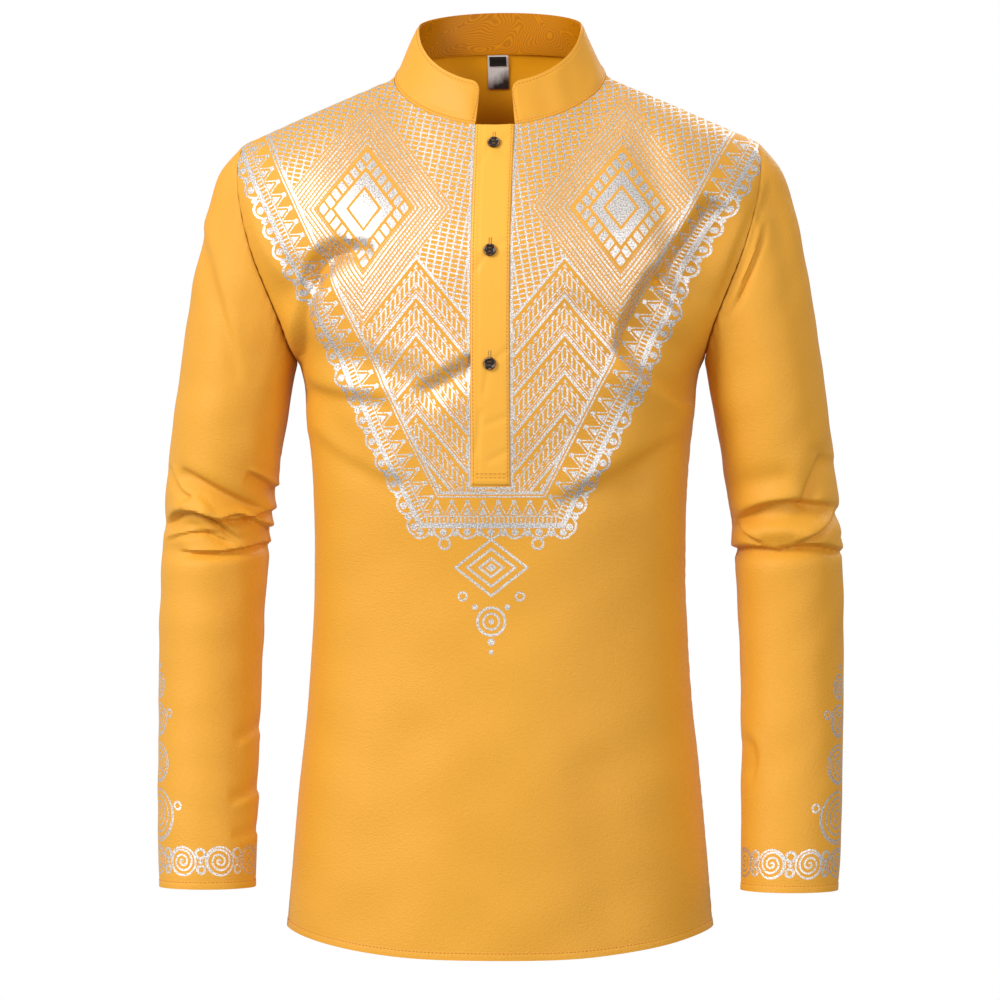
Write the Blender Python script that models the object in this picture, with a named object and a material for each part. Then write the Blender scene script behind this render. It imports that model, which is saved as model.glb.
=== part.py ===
# Long-sleeved dashiki shirt with a stand collar, worn form, hollow, with no wearer
#
# The cloth pieces are walls worked out from sections of the worn shirt. Sizes in the
# tables are millimetres. x runs to the viewer's right, y to the back, and "drop" is
# how far a point lies below the neck points, so z = -drop.

import math

import bmesh
import bpy
import numpy as np
from mathutils import Matrix, Vector

MM = 0.001

# Cloth
CLOTH = 1.3
BAND = 1.6
FACING = 1.0
TAPE = 0.7
SEAM_GAP = 0.3
SEAM_OFFSET = SEAM_GAP + 0.05
LAY_GAP = 0.45

# Neck, shoulder and armhole
NECK_HALF = 91.0
SHOULDER_HALF = 221.0
SHOULDER_DROP = 57.0
ARMHOLE_MID = 150.0
ARMHOLE_HALF = 93.0
ARMHOLE_REACH = {"front": 51.0, "back": 50.0}
ARMPIT_DROP = ARMHOLE_MID + ARMHOLE_HALF
NECK_SHARE = 0.45
BODY_SQUARENESS = 2.15
SLEEVE_BLEND_SHARE = 0.35

# Neck seam and collar top: y and height as a linear and a squared part of the turn's cosine
NECK_DEPTH = (53.5, 8.5)
NECK_FALL = (33.5, 9.5)
TOP_DEPTH = (45.5, 7.0)
TOP_FALL = (34.0, 20.0)

# Hem
SIDE_HEM = 726.0
HEM_DIP = 20.0

# Collar
COLLAR_TOP_HALF = 71.0
COLLAR_SIDE_TOP = 43.0
COLLAR_CORNER = 9.0
COLLAR_HEIGHTS = (0.0, 0.2, 0.5, 0.8, 1.0)
COLLAR_LEAN_POWER = 0.85
SEAM_LEAN_IN = 0.85
SEAM_LEAN_DOWN = 0.5

# Front opening
PLACKET_HALF = 16.0
PLACKET_END = 350.0
SLOT_SHORTER = 15.0
UNDER_SHORTER = 6.0
SLOT_SHARE = 0.035
COLLAR_END_SHARE = 0.054
UNDER_HALF = 13.0
BUTTON_DROPS = (63.0, 155.0, 249.0)
BUTTON_RADIUS = 5.5
BUTTON_HOLE = 0.75
BUTTON_HOLE_PITCH = 1.55

# Label
LABEL_HALF = 9.0
LABEL_CENTRE = -5.0
LABEL_START = -22.0
LABEL_LENGTH = 33.0
TAB_LENGTH = 7.0

# Mesh density
ARMHOLE_STEPS = 12
SKIRT_STEPS = 13
FRONT_SHARES = (SLOT_SHARE, COLLAR_END_SHARE, 0.10, 0.155, 0.21, 0.27, 0.33, 0.39, NECK_SHARE,
                0.54, 0.63, 0.72, 0.81, 0.89, 0.955, 1.0)
BACK_SHARES = (0.0, 0.075, 0.15, 0.225, 0.30, 0.375, NECK_SHARE,
               0.56, 0.67, 0.78, 0.88, 0.95, 1.0)

# Torso: drop, half width at the side, half width that shapes the middle, depth to the front,
# depth to the back
TORSO = (
    (-30.0, 236.0, 236.0, 88.0, 80.0),
    (57.0, 237.0, 236.0, 102.0, 97.0),
    (100.0, 238.0, 232.0, 110.0, 104.0),
    (150.0, 230.0, 221.0, 116.0, 108.0),
    (200.0, 201.5, 203.5, 120.0, 109.0),
    (225.0, 185.5, 193.5, 121.0, 109.0),
    (243.0, 174.5, 187.0, 121.0, 108.0),
    (290.0, 166.5, 174.0, 118.5, 100.5),
    (330.0, 162.0, 166.5, 115.0, 93.0),
    (420.0, 159.0, 159.0, 106.0, 82.0),
    (520.0, 163.5, 163.5, 107.0, 92.0),
    (620.0, 173.5, 173.5, 113.0, 104.0),
    (750.0, 184.0, 184.0, 119.0, 111.0),
)

# Top of the body: distance from the middle, then for the front and the back the drop at which
# the sheet starts, how far down it rounds over, and last how squarely it does so
RIDGE = (
    (0.0, -44.0, -70.0, 200.0, 185.0, 1.3),
    (40.0, -32.0, -54.0, 185.0, 170.0, 1.3),
    (70.0, -13.0, -26.0, 165.0, 158.0, 1.3),
    (91.0, 0.0, 0.0, 150.0, 145.0, 1.4),
    (125.0, 14.9, 14.9, 138.0, 132.0, 1.75),
    (156.0, 28.5, 28.5, 125.0, 122.0, 2.0),
    (221.0, 57.0, 57.0, 105.0, 105.0, 2.0),
    (260.0, 74.1, 74.1, 105.0, 105.0, 2.0),
)
NECK_BLEND = 60.0
EDGE_BLEND = 14.0

# Armhole seam seen from the front: drop, half width
ARMHOLE = (
    (57.0, 221.0),
    (75.0, 224.0),
    (95.0, 223.0),
    (125.0, 217.0),
    (155.0, 208.0),
    (185.0, 196.0),
    (212.0, 185.0),
    (243.0, 174.5),
)

# Sleeve: drop, outer edge, inner edge, y of the middle, half depth
SLEEVE = (
    (57.0, 221.0, 140.0, 0.0, 46.0),
    (80.0, 240.0, 144.0, 0.0, 49.0),
    (115.0, 251.5, 151.0, 0.0, 53.0),
    (150.0, 260.0, 158.0, 0.0, 56.0),
    (200.0, 268.5, 167.0, 1.0, 59.0),
    (251.0, 276.0, 177.4, 3.0, 60.0),
    (337.0, 287.0, 191.0, 7.0, 58.0),
    (405.0, 292.2, 199.7, 8.0, 53.0),
    (491.0, 294.0, 204.8, 1.0, 49.0),
    (577.0, 293.0, 206.5, -12.0, 45.5),
    (662.0, 291.0, 206.7, -27.0, 42.0),
    (700.0, 288.5, 207.2, -33.0, 41.0),
)
CUFF_DROP = 692.0
# Sleeve rings: share of the sleeve at which a run ends, rings in the run
SLEEVE_RUNS = ((0.30, 7), (0.56, 10), (1.0, 6))

# Folds seen from one side: x and drop of the start, of the end, half width, depth inwards
FRONT_FOLDS = (
    (-176.0, 190.0, -118.0, 140.0, 15.0, 5.0),
    (-160.0, 236.0, -60.0, 262.0, 14.0, 3.5),
    (-165.0, 262.0, -112.0, 330.0, 15.0, 3.0),
    (128.0, 66.0, 172.0, 190.0, 17.0, 6.0),
    (150.0, 235.0, 64.0, 205.0, 15.0, 4.0),
    (166.0, 262.0, 120.0, 350.0, 15.0, 3.5),
    (-70.0, 560.0, -92.0, 760.0, 24.0, 3.5),
    (84.0, 590.0, 104.0, 760.0, 24.0, 3.5),
)
BACK_FOLDS = (
    (-172.0, 200.0, -90.0, 150.0, 17.0, 5.0),
    (172.0, 200.0, 96.0, 158.0, 17.0, 5.0),
    (-150.0, 262.0, -70.0, 300.0, 16.0, 4.0),
    (152.0, 258.0, 66.0, 290.0, 16.0, 4.0),
    (-110.0, 400.0, 10.0, 428.0, 20.0, 4.0),
    (110.0, 410.0, -20.0, 452.0, 20.0, 3.5),
    (-60.0, 560.0, -80.0, 760.0, 26.0, 4.0),
    (56.0, 580.0, 78.0, 760.0, 26.0, 4.0),
)
LEFT_FOLDS = (
    (-292.0, 380.0, -231.0, 391.0, 9.0, 6.0),
    (-280.0, 405.0, -203.0, 399.0, 9.0, 5.0),
    (-266.0, 343.0, -208.0, 369.0, 10.0, 5.5),
    (-222.0, 380.0, -197.0, 398.0, 8.0, 4.5),
    (-272.0, 366.0, -250.0, 372.0, 9.0, -3.0),
)
RIGHT_FOLDS = (
    (195.0, 380.0, 289.0, 371.0, 9.0, 6.5),
    (197.0, 407.0, 292.0, 402.0, 9.0, 5.5),
    (275.0, 326.0, 261.0, 364.0, 10.0, 5.0),
    (203.0, 350.0, 240.0, 344.0, 11.0, 4.0),
    (205.0, 388.0, 262.0, 388.0, 8.0, -3.0),
)


def smooth_table(rows, column, at):
    """Cubic curve through one column of a table whose first column is the key."""
    keys = np.array([row[0] for row in rows])
    values = np.array([row[column] for row in rows])
    slopes = np.gradient(values, keys)
    at = np.clip(at, keys[0], keys[-1])
    low = np.clip(np.searchsorted(keys, at, side="right") - 1, 0, len(keys) - 2)
    span = keys[low + 1] - keys[low]
    f = (at - keys[low]) / span
    rise = (3.0 - 2.0 * f) * f * f
    lean_in = f * (1.0 - f) ** 2 * span * slopes[low]
    lean_out = f * f * (f - 1.0) * span * slopes[low + 1]
    return values[low] + (values[low + 1] - values[low]) * rise + lean_in + lean_out


def ease(f):
    f = np.clip(f, 0.0, 1.0)
    return f * f * (3.0 - 2.0 * f)


def superellipse(q, power):
    return np.clip(1.0 - np.abs(q) ** power, 0.0, 1.0) ** (1.0 / power)


def fold_depth(x, drop, folds):
    """How far the folds push a point in, as soft troughs along short lines."""
    depth = np.zeros(np.shape(x))
    for x0, d0, x1, d1, half, deep in folds:
        along_x, along_d = x1 - x0, d1 - d0
        share = ((x - x0) * along_x + (drop - d0) * along_d) / (along_x ** 2 + along_d ** 2)
        share = np.clip(share, 0.0, 1.0)
        away = np.hypot(x - x0 - share * along_x, drop - d0 - share * along_d)
        depth = depth + deep * np.exp(-(away / half) ** 2)
    return depth


def neck_ring(turn):
    """Neck seam by its turn: 0 at the centre front, pi/2 at a neck point, pi at the back."""
    c = np.cos(turn)
    x = NECK_HALF * np.sin(turn)
    y = -NECK_DEPTH[0] * c - NECK_DEPTH[1] * c * c
    drop = NECK_FALL[0] * c + NECK_FALL[1] * c * c
    return x, y, drop


def torso_depth(face, x, drop):
    """How far the worn body sheet lies from the shoulder seams' plane."""
    columns = (3, 1, 3) if face == "front" else (4, 2, 4)
    full = smooth_table(TORSO, columns[0], drop)
    side_half = smooth_table(TORSO, 1, drop)
    outward = np.clip(np.abs(x) / side_half, 0.0, 1.0) ** 5
    half = side_half * outward + smooth_table(TORSO, 2, drop) * (1.0 - outward)
    around = superellipse(x / half, BODY_SQUARENESS)
    shoulder = SHOULDER_DROP * (np.abs(x) - NECK_HALF) / (SHOULDER_HALF - NECK_HALF)
    start = np.where(np.abs(x) < NECK_HALF, smooth_table(RIDGE, columns[1], np.abs(x)), shoulder)
    reach = smooth_table(RIDGE, columns[2], np.abs(x))
    power = smooth_table(RIDGE, 5, np.abs(x))
    u = np.clip((drop - start) / reach, 0.0, 1.0)
    return full * around * (1.0 - (1.0 - u) ** power) ** (1.0 / power)


def armhole(turn, face):
    """Armhole seam by its turn: 0 at the shoulder point, pi at the armpit."""
    drop = ARMHOLE_MID - ARMHOLE_HALF * np.cos(turn)
    x = smooth_table(ARMHOLE, 1, drop)
    y = torso_depth(face, x, drop) * ease(np.minimum(turn, np.pi - turn) * 9.0)
    return x, y, drop


def panel_point(face, s, t):
    """Point of the front or back panel: s runs across, t is 0 to 1 along the armhole
    and 1 to 2 along the side seam."""
    side = np.sign(s)
    s = np.abs(s)
    turn = np.pi * np.clip(t, 0.0, 1.0)
    arm_x, arm_y, arm_drop = armhole(turn, face)
    below = np.clip(t - 1.0, 0.0, 1.0)
    seam_drop = ARMPIT_DROP + (SIDE_HEM - ARMPIT_DROP) * below
    edge_drop = np.where(t <= 1.0, arm_drop, seam_drop)
    edge_x = np.where(t <= 1.0, arm_x, smooth_table(TORSO, 1, seam_drop))
    edge_y = np.where(t <= 1.0, arm_y, 0.0)

    in_neck = s <= NECK_SHARE
    neck_turn = 0.5 * np.pi * np.clip(s / NECK_SHARE, 0.0, 1.0)
    if face == "back":
        neck_turn = np.pi - neck_turn
    neck_x, neck_y, neck_drop = neck_ring(neck_turn)
    out = np.clip((s - NECK_SHARE) / (1.0 - NECK_SHARE), 0.0, 1.0)
    top_x = np.where(in_neck, neck_x, NECK_HALF + (SHOULDER_HALF - NECK_HALF) * out)
    top_y = np.where(in_neck, np.abs(neck_y), 0.0)
    top_drop = np.where(in_neck, neck_drop, SHOULDER_DROP * out)

    q = np.sin(0.5 * np.pi * s)
    down = (edge_drop - SHOULDER_DROP) / (ARMPIT_DROP - SHOULDER_DROP)
    x = edge_x * q + (top_x - SHOULDER_HALF * q) * (1.0 - ease(down))
    hem_dip = HEM_DIP * (1.0 - q ** 3)
    drop = edge_drop + (top_drop - SHOULDER_DROP) * (1.0 - ease(down / 1.3)) + hem_dip * below ** 2

    blend = EDGE_BLEND + (NECK_BLEND - EDGE_BLEND) * (1.0 - np.clip(s / NECK_SHARE, 0.0, 1.0) ** 3)
    near_top = 1.0 - ease((drop - top_drop) / blend)
    to_seam = top_y - torso_depth(face, top_x, top_drop)
    depth = torso_depth(face, x, drop) + to_seam * near_top
    depth = np.where(s >= 1.0, edge_y, depth)
    y = np.maximum(depth, 0.5 * SEAM_GAP)
    if face == "front":
        y = -y
    return np.stack([side * x, y, -drop], axis=-1)


def share_at(face, x, t):
    """The share s across a panel at which its x is the one asked for, on rows t."""
    s = x / 150.0
    for _ in range(12):
        here = panel_point(face, s, t)[..., 0]
        step = 1.0e-3
        slope = (panel_point(face, s + step, t)[..., 0] - here) / step
        s = s + (x - here) / slope
    return s


def surface_normals(points, outward, ring=False):
    """Unit normals of a grid of points, turned to the side that outward() names."""
    if ring:
        wide = np.concatenate([points[:, -1:], points, points[:, :1]], axis=1)
        across = (wide[:, 2:] - wide[:, :-2]) * 0.5
    else:
        across = np.gradient(points, axis=1)
    along = np.gradient(points, axis=0)
    normals = np.cross(along, across)
    normals /= np.maximum(np.linalg.norm(normals, axis=-1, keepdims=True), 1.0e-9)
    flip = np.sum(normals * outward, axis=-1, keepdims=True) < 0.0
    return np.where(flip, -normals, normals)


def unit(vectors):
    return vectors / np.linalg.norm(vectors, axis=-1, keepdims=True)


def plain_material(name, colour, roughness, metallic=0.0):
    material = bpy.data.materials.new(name)
    material.use_nodes = True
    shader = material.node_tree.nodes["Principled BSDF"]
    shader.inputs["Base Color"].default_value = (*colour, 1.0)
    shader.inputs["Roughness"].default_value = roughness
    shader.inputs["Metallic"].default_value = metallic
    material.diffuse_color = (*colour, 1.0)
    return material


GOLD = (0.78, 0.42, 0.045)
OCHRE = (0.50, 0.26, 0.03)
BLACK = (0.012, 0.011, 0.010)
SILVER_GREY = (0.35, 0.34, 0.33)


def add_object(name, mesh, colour, roughness, metallic=0.0):
    mesh.materials.append(plain_material(name + "_finish", colour, roughness, metallic))
    obj = bpy.data.objects.new(name, mesh)
    bpy.context.scene.collection.objects.link(obj)
    return obj


def wall(name, outer, inner, colour, roughness, ring=False, keep=None):
    """Closed wall between two grids of points; keep tells which cells are cloth."""
    rows, cols = outer.shape[:2]
    layer = rows * cols
    corners = np.concatenate([outer.reshape(-1, 3), inner.reshape(-1, 3)]) * MM
    faces = []
    border = {}
    for row in range(rows - 1):
        for col in range(cols if ring else cols - 1):
            if keep is not None and not keep(row, col):
                continue
            right = (col + 1) % cols
            cell = [(row, col), (row, right), (row + 1, right), (row + 1, col)]
            faces.append([r * cols + c for r, c in cell])
            faces.append([layer + r * cols + c for r, c in reversed(cell)])
            for a, b in zip(cell, cell[1:] + cell[:1]):
                if (b, a) in border:
                    del border[(b, a)]
                else:
                    border[(a, b)] = True
    for (ra, ca), (rb, cb) in border:
        a, b = ra * cols + ca, rb * cols + cb
        faces.append([b, a, layer + a, layer + b])
    mesh = bpy.data.meshes.new(name)
    mesh.from_pydata([tuple(p) for p in corners], [], faces)
    shell = bmesh.new()
    shell.from_mesh(mesh)
    loose = [v for v in shell.verts if not v.link_faces]
    bmesh.ops.delete(shell, geom=loose, context="VERTS")
    bmesh.ops.recalc_face_normals(shell, faces=shell.faces)
    shell.to_mesh(mesh)
    shell.free()
    mesh.shade_smooth()
    mesh.set_sharp_from_angle(angle=math.radians(50.0))
    return add_object(name, mesh, colour, roughness)


def neck_lean(turn, side):
    """Direction through the cloth at the neck seam, inwards and down."""
    across = -side * np.sin(turn) / NECK_HALF
    back = np.cos(turn) / NECK_DEPTH[0]
    inward = unit(np.stack([across, back, 0.0 * turn], axis=-1))
    return unit(SEAM_LEAN_IN * inward - np.array([0.0, 0.0, SEAM_LEAN_DOWN]))


def armhole_lean(turn, face, side, piece):
    """Direction through the cloth at the armhole seam, towards the arm's middle."""
    sign = -1.0 if face == "front" else 1.0
    back_in = -sign * np.sin(turn) / ARMHOLE_REACH[face]
    up_in = -np.cos(turn) / ARMHOLE_HALF
    loop = unit(np.stack([0.0 * turn, back_in, up_in], axis=-1))
    spread = ease((turn - 0.5 * np.pi) / (0.5 * np.pi))
    sideways = side * spread * (1.0 if piece == "sleeve" else -1.0)
    return unit(loop + np.stack([sideways, 0.0 * turn, 0.0 * turn], axis=-1))


def panel_rows():
    armhole_rows = np.arange(ARMHOLE_STEPS + 1) / ARMHOLE_STEPS
    skirt_rows = 1.0 + (np.arange(1, SKIRT_STEPS + 1) / SKIRT_STEPS) ** 1.2
    return np.concatenate([armhole_rows, skirt_rows])


def panel_shares(face):
    half = FRONT_SHARES if face == "front" else BACK_SHARES
    mirrored = [-s for s in reversed(half) if s > 0.0]
    return np.array(mirrored + list(half))


def outward_of(face):
    return np.array([0.0, -1.0 if face == "front" else 1.0, 0.05])


def folded_panel(face, s, t):
    """Panel points with their folds, and the normals of the folded sheet."""
    points = panel_point(face, s, t)
    normals = surface_normals(points, outward_of(face))
    folds = FRONT_FOLDS if face == "front" else BACK_FOLDS
    depth = fold_depth(points[..., 0], -points[..., 2], folds)
    edge = 1.0 - np.clip(np.abs(s), 0.0, 1.0) ** 12
    top = ease(np.clip(t, 0.0, 1.0) * 5.0)
    points = points - normals * (depth * edge * top)[..., None]
    return points, surface_normals(points, outward_of(face))


def panel_grid(face):
    s, t = np.meshgrid(panel_shares(face), panel_rows())
    outer, normals = folded_panel(face, s, t)
    through = -normals
    side = np.sign(s)
    seam = (np.abs(s) >= 1.0) & (t > 1.0)
    shoulder = (t == 0.0) & (np.abs(s) > NECK_SHARE)
    flat = through * np.array([1.0, 0.0, 1.0])
    flat = np.where((np.abs(s) >= 1.0)[..., None], flat * np.array([1.0, 0.0, 0.05]), flat)
    through = np.where((seam | shoulder)[..., None], unit(flat + 1.0e-12), through)
    neck_turn = 0.5 * np.pi * np.abs(s) / NECK_SHARE
    if face == "back":
        neck_turn = np.pi - neck_turn
    neck = (t == 0.0) & (np.abs(s) <= NECK_SHARE)
    through = np.where(neck[..., None], neck_lean(neck_turn, side), through)
    arm = (np.abs(s) >= 1.0) & (t <= 1.0)
    lean = armhole_lean(np.pi * np.clip(t, 0.0, 1.0), face, side, "panel")
    through = np.where(arm[..., None], lean, through)
    return outer, outer + CLOTH * through


def slot_cells(row, col):
    """False on the cells of the front opening under the placket."""
    rows = panel_rows()
    centre = len(FRONT_SHARES) - 1
    drop = -panel_point("front", np.array(SLOT_SHARE), np.array(rows[row + 1]))[2]
    return col != centre or drop > PLACKET_END - SLOT_SHORTER


def sleeve_rings():
    shares = [0.0]
    for end, count in SLEEVE_RUNS:
        start = shares[-1]
        shares.extend(start + (end - start) * (i + 1) / count for i in range(count))
    return np.array(shares)


def sleeve_section(turn, share):
    """Plain section of the sleeve: turn 0 at its outer side, pi at its inner side."""
    middle = ARMHOLE_MID + (CUFF_DROP - ARMHOLE_MID) * share
    tilt = ARMHOLE_HALF * np.clip(1.0 - share / 0.5, 0.0, 1.0) ** 2
    drop = middle - tilt * np.cos(turn)
    outer = smooth_table(SLEEVE, 1, drop)
    inner = smooth_table(SLEEVE, 2, drop)
    x = 0.5 * (outer + inner) + 0.5 * (outer - inner) * np.cos(turn)
    y = smooth_table(SLEEVE, 3, drop) - smooth_table(SLEEVE, 4, drop) * np.sin(turn)
    return x, y, drop


def sleeve_point(turn, share):
    """Sleeve point on the viewer's right, eased from the armhole seam to the sections."""
    x, y, drop = sleeve_section(turn, share)
    start_x, start_y, start_drop = sleeve_section(turn, 0.0 * share)
    half_turn = np.where(turn <= np.pi, turn, 2.0 * np.pi - turn)
    front = armhole(half_turn, "front")
    back = armhole(half_turn, "back")
    is_front = turn <= np.pi
    seam_x = np.where(is_front, front[0], back[0]) + SEAM_OFFSET
    seam_y = np.where(is_front, -front[1], back[1])
    seam_drop = np.where(is_front, front[2], back[2])
    hold = 1.0 - ease(share / SLEEVE_BLEND_SHARE)
    x = x + (seam_x - start_x) * hold
    y = y + (seam_y - start_y) * hold
    drop = drop + (seam_drop - start_drop) * hold
    return np.stack([x, y, -drop], axis=-1)


def sleeve_grid(side):
    turns = np.pi * np.arange(2 * ARMHOLE_STEPS) / ARMHOLE_STEPS
    turn, share = np.meshgrid(turns, sleeve_rings())
    outer = sleeve_point(turn, share) * np.array([side, 1.0, 1.0])
    outward = outer - outer.mean(axis=1, keepdims=True)
    normals = surface_normals(outer, outward, ring=True)
    folds = LEFT_FOLDS if side < 0.0 else RIGHT_FOLDS
    middle = outer[..., 0].mean(axis=1, keepdims=True)
    facing = np.clip(-normals[..., 1], 0.0, 1.0)
    behind = np.clip(normals[..., 1], 0.0, 1.0)
    drop = -outer[..., 2]
    before = fold_depth(outer[..., 0], drop, folds) * (0.3 + 0.7 * facing)
    after = fold_depth(2.0 * middle - outer[..., 0], drop + 14.0, folds) * 0.6 * behind
    depth = np.where(normals[..., 1] <= 0.0, before, 0.3 * before + after)
    outer = outer - normals * (depth * ease(share * 8.0))[..., None]
    normals = surface_normals(outer, outward, ring=True)
    through = -normals
    front_lean = armhole_lean(np.minimum(turns, 2.0 * np.pi - turns), "front", side, "sleeve")
    back_lean = armhole_lean(np.minimum(turns, 2.0 * np.pi - turns), "back", side, "sleeve")
    through[0] = np.where((turns <= np.pi)[:, None], front_lean, back_lean)
    return outer, outer + CLOTH * through


def collar_ring():
    """Turns round the collar, and the seam points that the panels' edges give there."""
    ends = [s for s in FRONT_SHARES if COLLAR_END_SHARE <= s <= NECK_SHARE]
    front_turns = [0.5 * np.pi * s / NECK_SHARE for s in ends]
    back_turns = [np.pi - 0.5 * np.pi * s / NECK_SHARE for s in BACK_SHARES if s < NECK_SHARE]
    seam_turns = np.array(front_turns + sorted(back_turns))
    first, second = seam_turns[0], seam_turns[1]
    extra = [first + (second - first) * f for f in (0.12, 0.3, 0.6)]
    turns = np.array(sorted(list(seam_turns) + extra))
    seam = np.stack(neck_ring(seam_turns), axis=-1)
    points = np.stack([np.interp(turns, seam_turns, seam[:, i]) for i in range(3)], axis=-1)
    return turns, points * np.array([1.0, 1.0, -1.0])


def collar_grid(inset, thickness):
    """Collar layer: inset is how far its outer face lies inside the collar's face."""
    turns, seam = collar_ring()
    c = np.cos(turns)
    top_x = COLLAR_TOP_HALF * np.sin(turns)
    top_y = -TOP_DEPTH[0] * c - TOP_DEPTH[1] * c * c
    top_z = COLLAR_SIDE_TOP + 2.0 - TOP_FALL[0] * c - TOP_FALL[1] * np.hypot(c, 0.1)
    from_end = NECK_HALF * (turns - turns[0])
    to_corner = np.clip(COLLAR_CORNER - from_end, 0.0, COLLAR_CORNER)
    cut = COLLAR_CORNER - np.sqrt(COLLAR_CORNER ** 2 - to_corner ** 2)
    full_height = top_z - seam[:, 2]
    top_share = (full_height - cut) / full_height
    grid = []
    for height in COLLAR_HEIGHTS:
        h = height * top_share
        w = h ** COLLAR_LEAN_POWER
        x = seam[:, 0] + (top_x - seam[:, 0]) * w
        y = seam[:, 1] + (top_y - seam[:, 1]) * w
        z = seam[:, 2] + full_height * h + SEAM_OFFSET
        grid.append(np.stack([x, y, z], axis=-1))
    half = np.array(grid)
    mirrored = half[:, ::-1] * np.array([-1.0, 1.0, 1.0])
    right = half[:, :-1]
    points = np.concatenate([right, mirrored], axis=1)
    centre = np.array([0.0, -8.0, 0.0])
    outward = (points - centre) * np.array([1.0, 1.0, 0.0])
    through = -surface_normals(points, outward)
    base = np.concatenate([neck_lean(turns, 1.0)[:-1], neck_lean(turns, -1.0)[::-1]])
    through[0] = base
    through[:, 0, 0] = 0.0
    through[:, -1, 0] = 0.0
    through = unit(through)
    return points + inset * through, points + (inset + thickness) * through


def strip_grid(half, last_drop, first_row, lift, thickness):
    """Straight strip on the front panel, made from its points, moved out or in."""
    rows = panel_rows()
    drops = -panel_point("front", np.full(rows.shape, SLOT_SHARE), rows)[..., 2]
    last = np.interp(last_drop, drops, rows)
    rows = np.append(rows[rows < last - 0.01], last)[first_row:]
    xs = np.linspace(-half, half, 5)
    x, t = np.meshgrid(xs, rows)
    s = share_at("front", x, t)
    points = panel_point("front", s, t)
    normals = surface_normals(points, outward_of("front"))
    return points + lift * normals, points + (lift + thickness) * normals


def front_frame(drop):
    """Place and outward direction on the middle of the front at one drop."""
    rows = panel_rows()
    shares = share_at("front", np.zeros(rows.shape) + 0.01, rows)
    middle = panel_point("front", shares, rows)
    at = np.array([np.interp(drop, -middle[:, 2], middle[:, i]) for i in range(3)])
    ahead = np.array([np.interp(drop + 1.0, -middle[:, 2], middle[:, i]) for i in range(3)])
    down = Vector(ahead - at).normalized()
    outward = down.cross(Vector((-1.0, 0.0, 0.0))).normalized()
    if outward.y > 0.0:
        outward.negate()
    return Vector(at), outward


def back_strip(name, start, length, lift, colour, roughness):
    """Small flat tape on the inside of the back, under the collar."""
    rows = np.linspace(0.0, 1.0, 200)
    drops = -panel_point("back", np.full(rows.shape, 0.02), rows)[..., 2]
    wanted = np.linspace(start, start + length, 4)
    t = np.interp(wanted, drops, rows)
    xs = LABEL_CENTRE + np.linspace(-LABEL_HALF, LABEL_HALF, 3)
    x, t = np.meshgrid(xs, t)
    s = share_at("back", x, t)
    points = panel_point("back", s, t)
    normals = surface_normals(points, outward_of("back"))
    outer = points - (CLOTH + lift) * normals
    return wall(name, outer, outer - TAPE * normals, colour, roughness)


def hole_cutter(x, y):
    """Guide solid for one thread hole, left out of the model."""
    mesh = bpy.data.meshes.new("hole_guide")
    shape = bmesh.new()
    bmesh.ops.create_cone(shape, cap_ends=True, segments=8, radius1=BUTTON_HOLE * MM,
                          radius2=BUTTON_HOLE * MM, depth=8.0 * MM)
    bmesh.ops.translate(shape, verts=shape.verts, vec=(x * MM, y * MM, 0.0))
    shape.to_mesh(mesh)
    shape.free()
    guide = bpy.data.objects.new("hole_guide", mesh)
    bpy.context.scene.collection.objects.link(guide)
    guide.hide_render = True
    guide.display_type = "WIRE"
    return guide


# Button section from the middle of its back to the middle of its dished face: radius, height
BUTTON_SECTION = (
    (0.0, 0.0),
    (4.6, 0.0),
    (BUTTON_RADIUS, 0.8),
    (BUTTON_RADIUS, 1.7),
    (4.9, 2.4),
    (3.7, 1.8),
    (0.0, 1.6),
)


def button(name, drop):
    """Four-hole button that lies on the placket."""
    shape = bmesh.new()
    ring = [shape.verts.new((r * MM, 0.0, h * MM)) for r, h in BUTTON_SECTION]
    edges = [shape.edges.new(pair) for pair in zip(ring, ring[1:])]
    bmesh.ops.spin(shape, geom=ring + edges, cent=(0.0, 0.0, 0.0), axis=(0.0, 0.0, 1.0),
                   angle=2.0 * math.pi, steps=22, use_merge=True)
    bmesh.ops.remove_doubles(shape, verts=shape.verts, dist=1.0e-6)
    bmesh.ops.recalc_face_normals(shape, faces=shape.faces)
    mesh = bpy.data.meshes.new(name)
    shape.to_mesh(mesh)
    shape.free()
    mesh.shade_smooth()
    mesh.set_sharp_from_angle(angle=math.radians(40.0))
    obj = add_object(name, mesh, BLACK, 0.18)
    at, outward = front_frame(drop)
    lift = LAY_GAP + BAND + SEAM_GAP
    place = Matrix.Translation((at + outward * lift) * MM)
    turn = outward.to_track_quat("Z", "Y").to_matrix().to_4x4()
    obj.matrix_world = place @ turn
    for x in (-BUTTON_HOLE_PITCH, BUTTON_HOLE_PITCH):
        for y in (-BUTTON_HOLE_PITCH, BUTTON_HOLE_PITCH):
            guide = hole_cutter(x, y)
            guide.matrix_world = place @ turn
            cut = obj.modifiers.new("thread_hole", "BOOLEAN")
            cut.operation = "DIFFERENCE"
            cut.object = guide
            cut.solver = "EXACT"
    return obj


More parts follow.
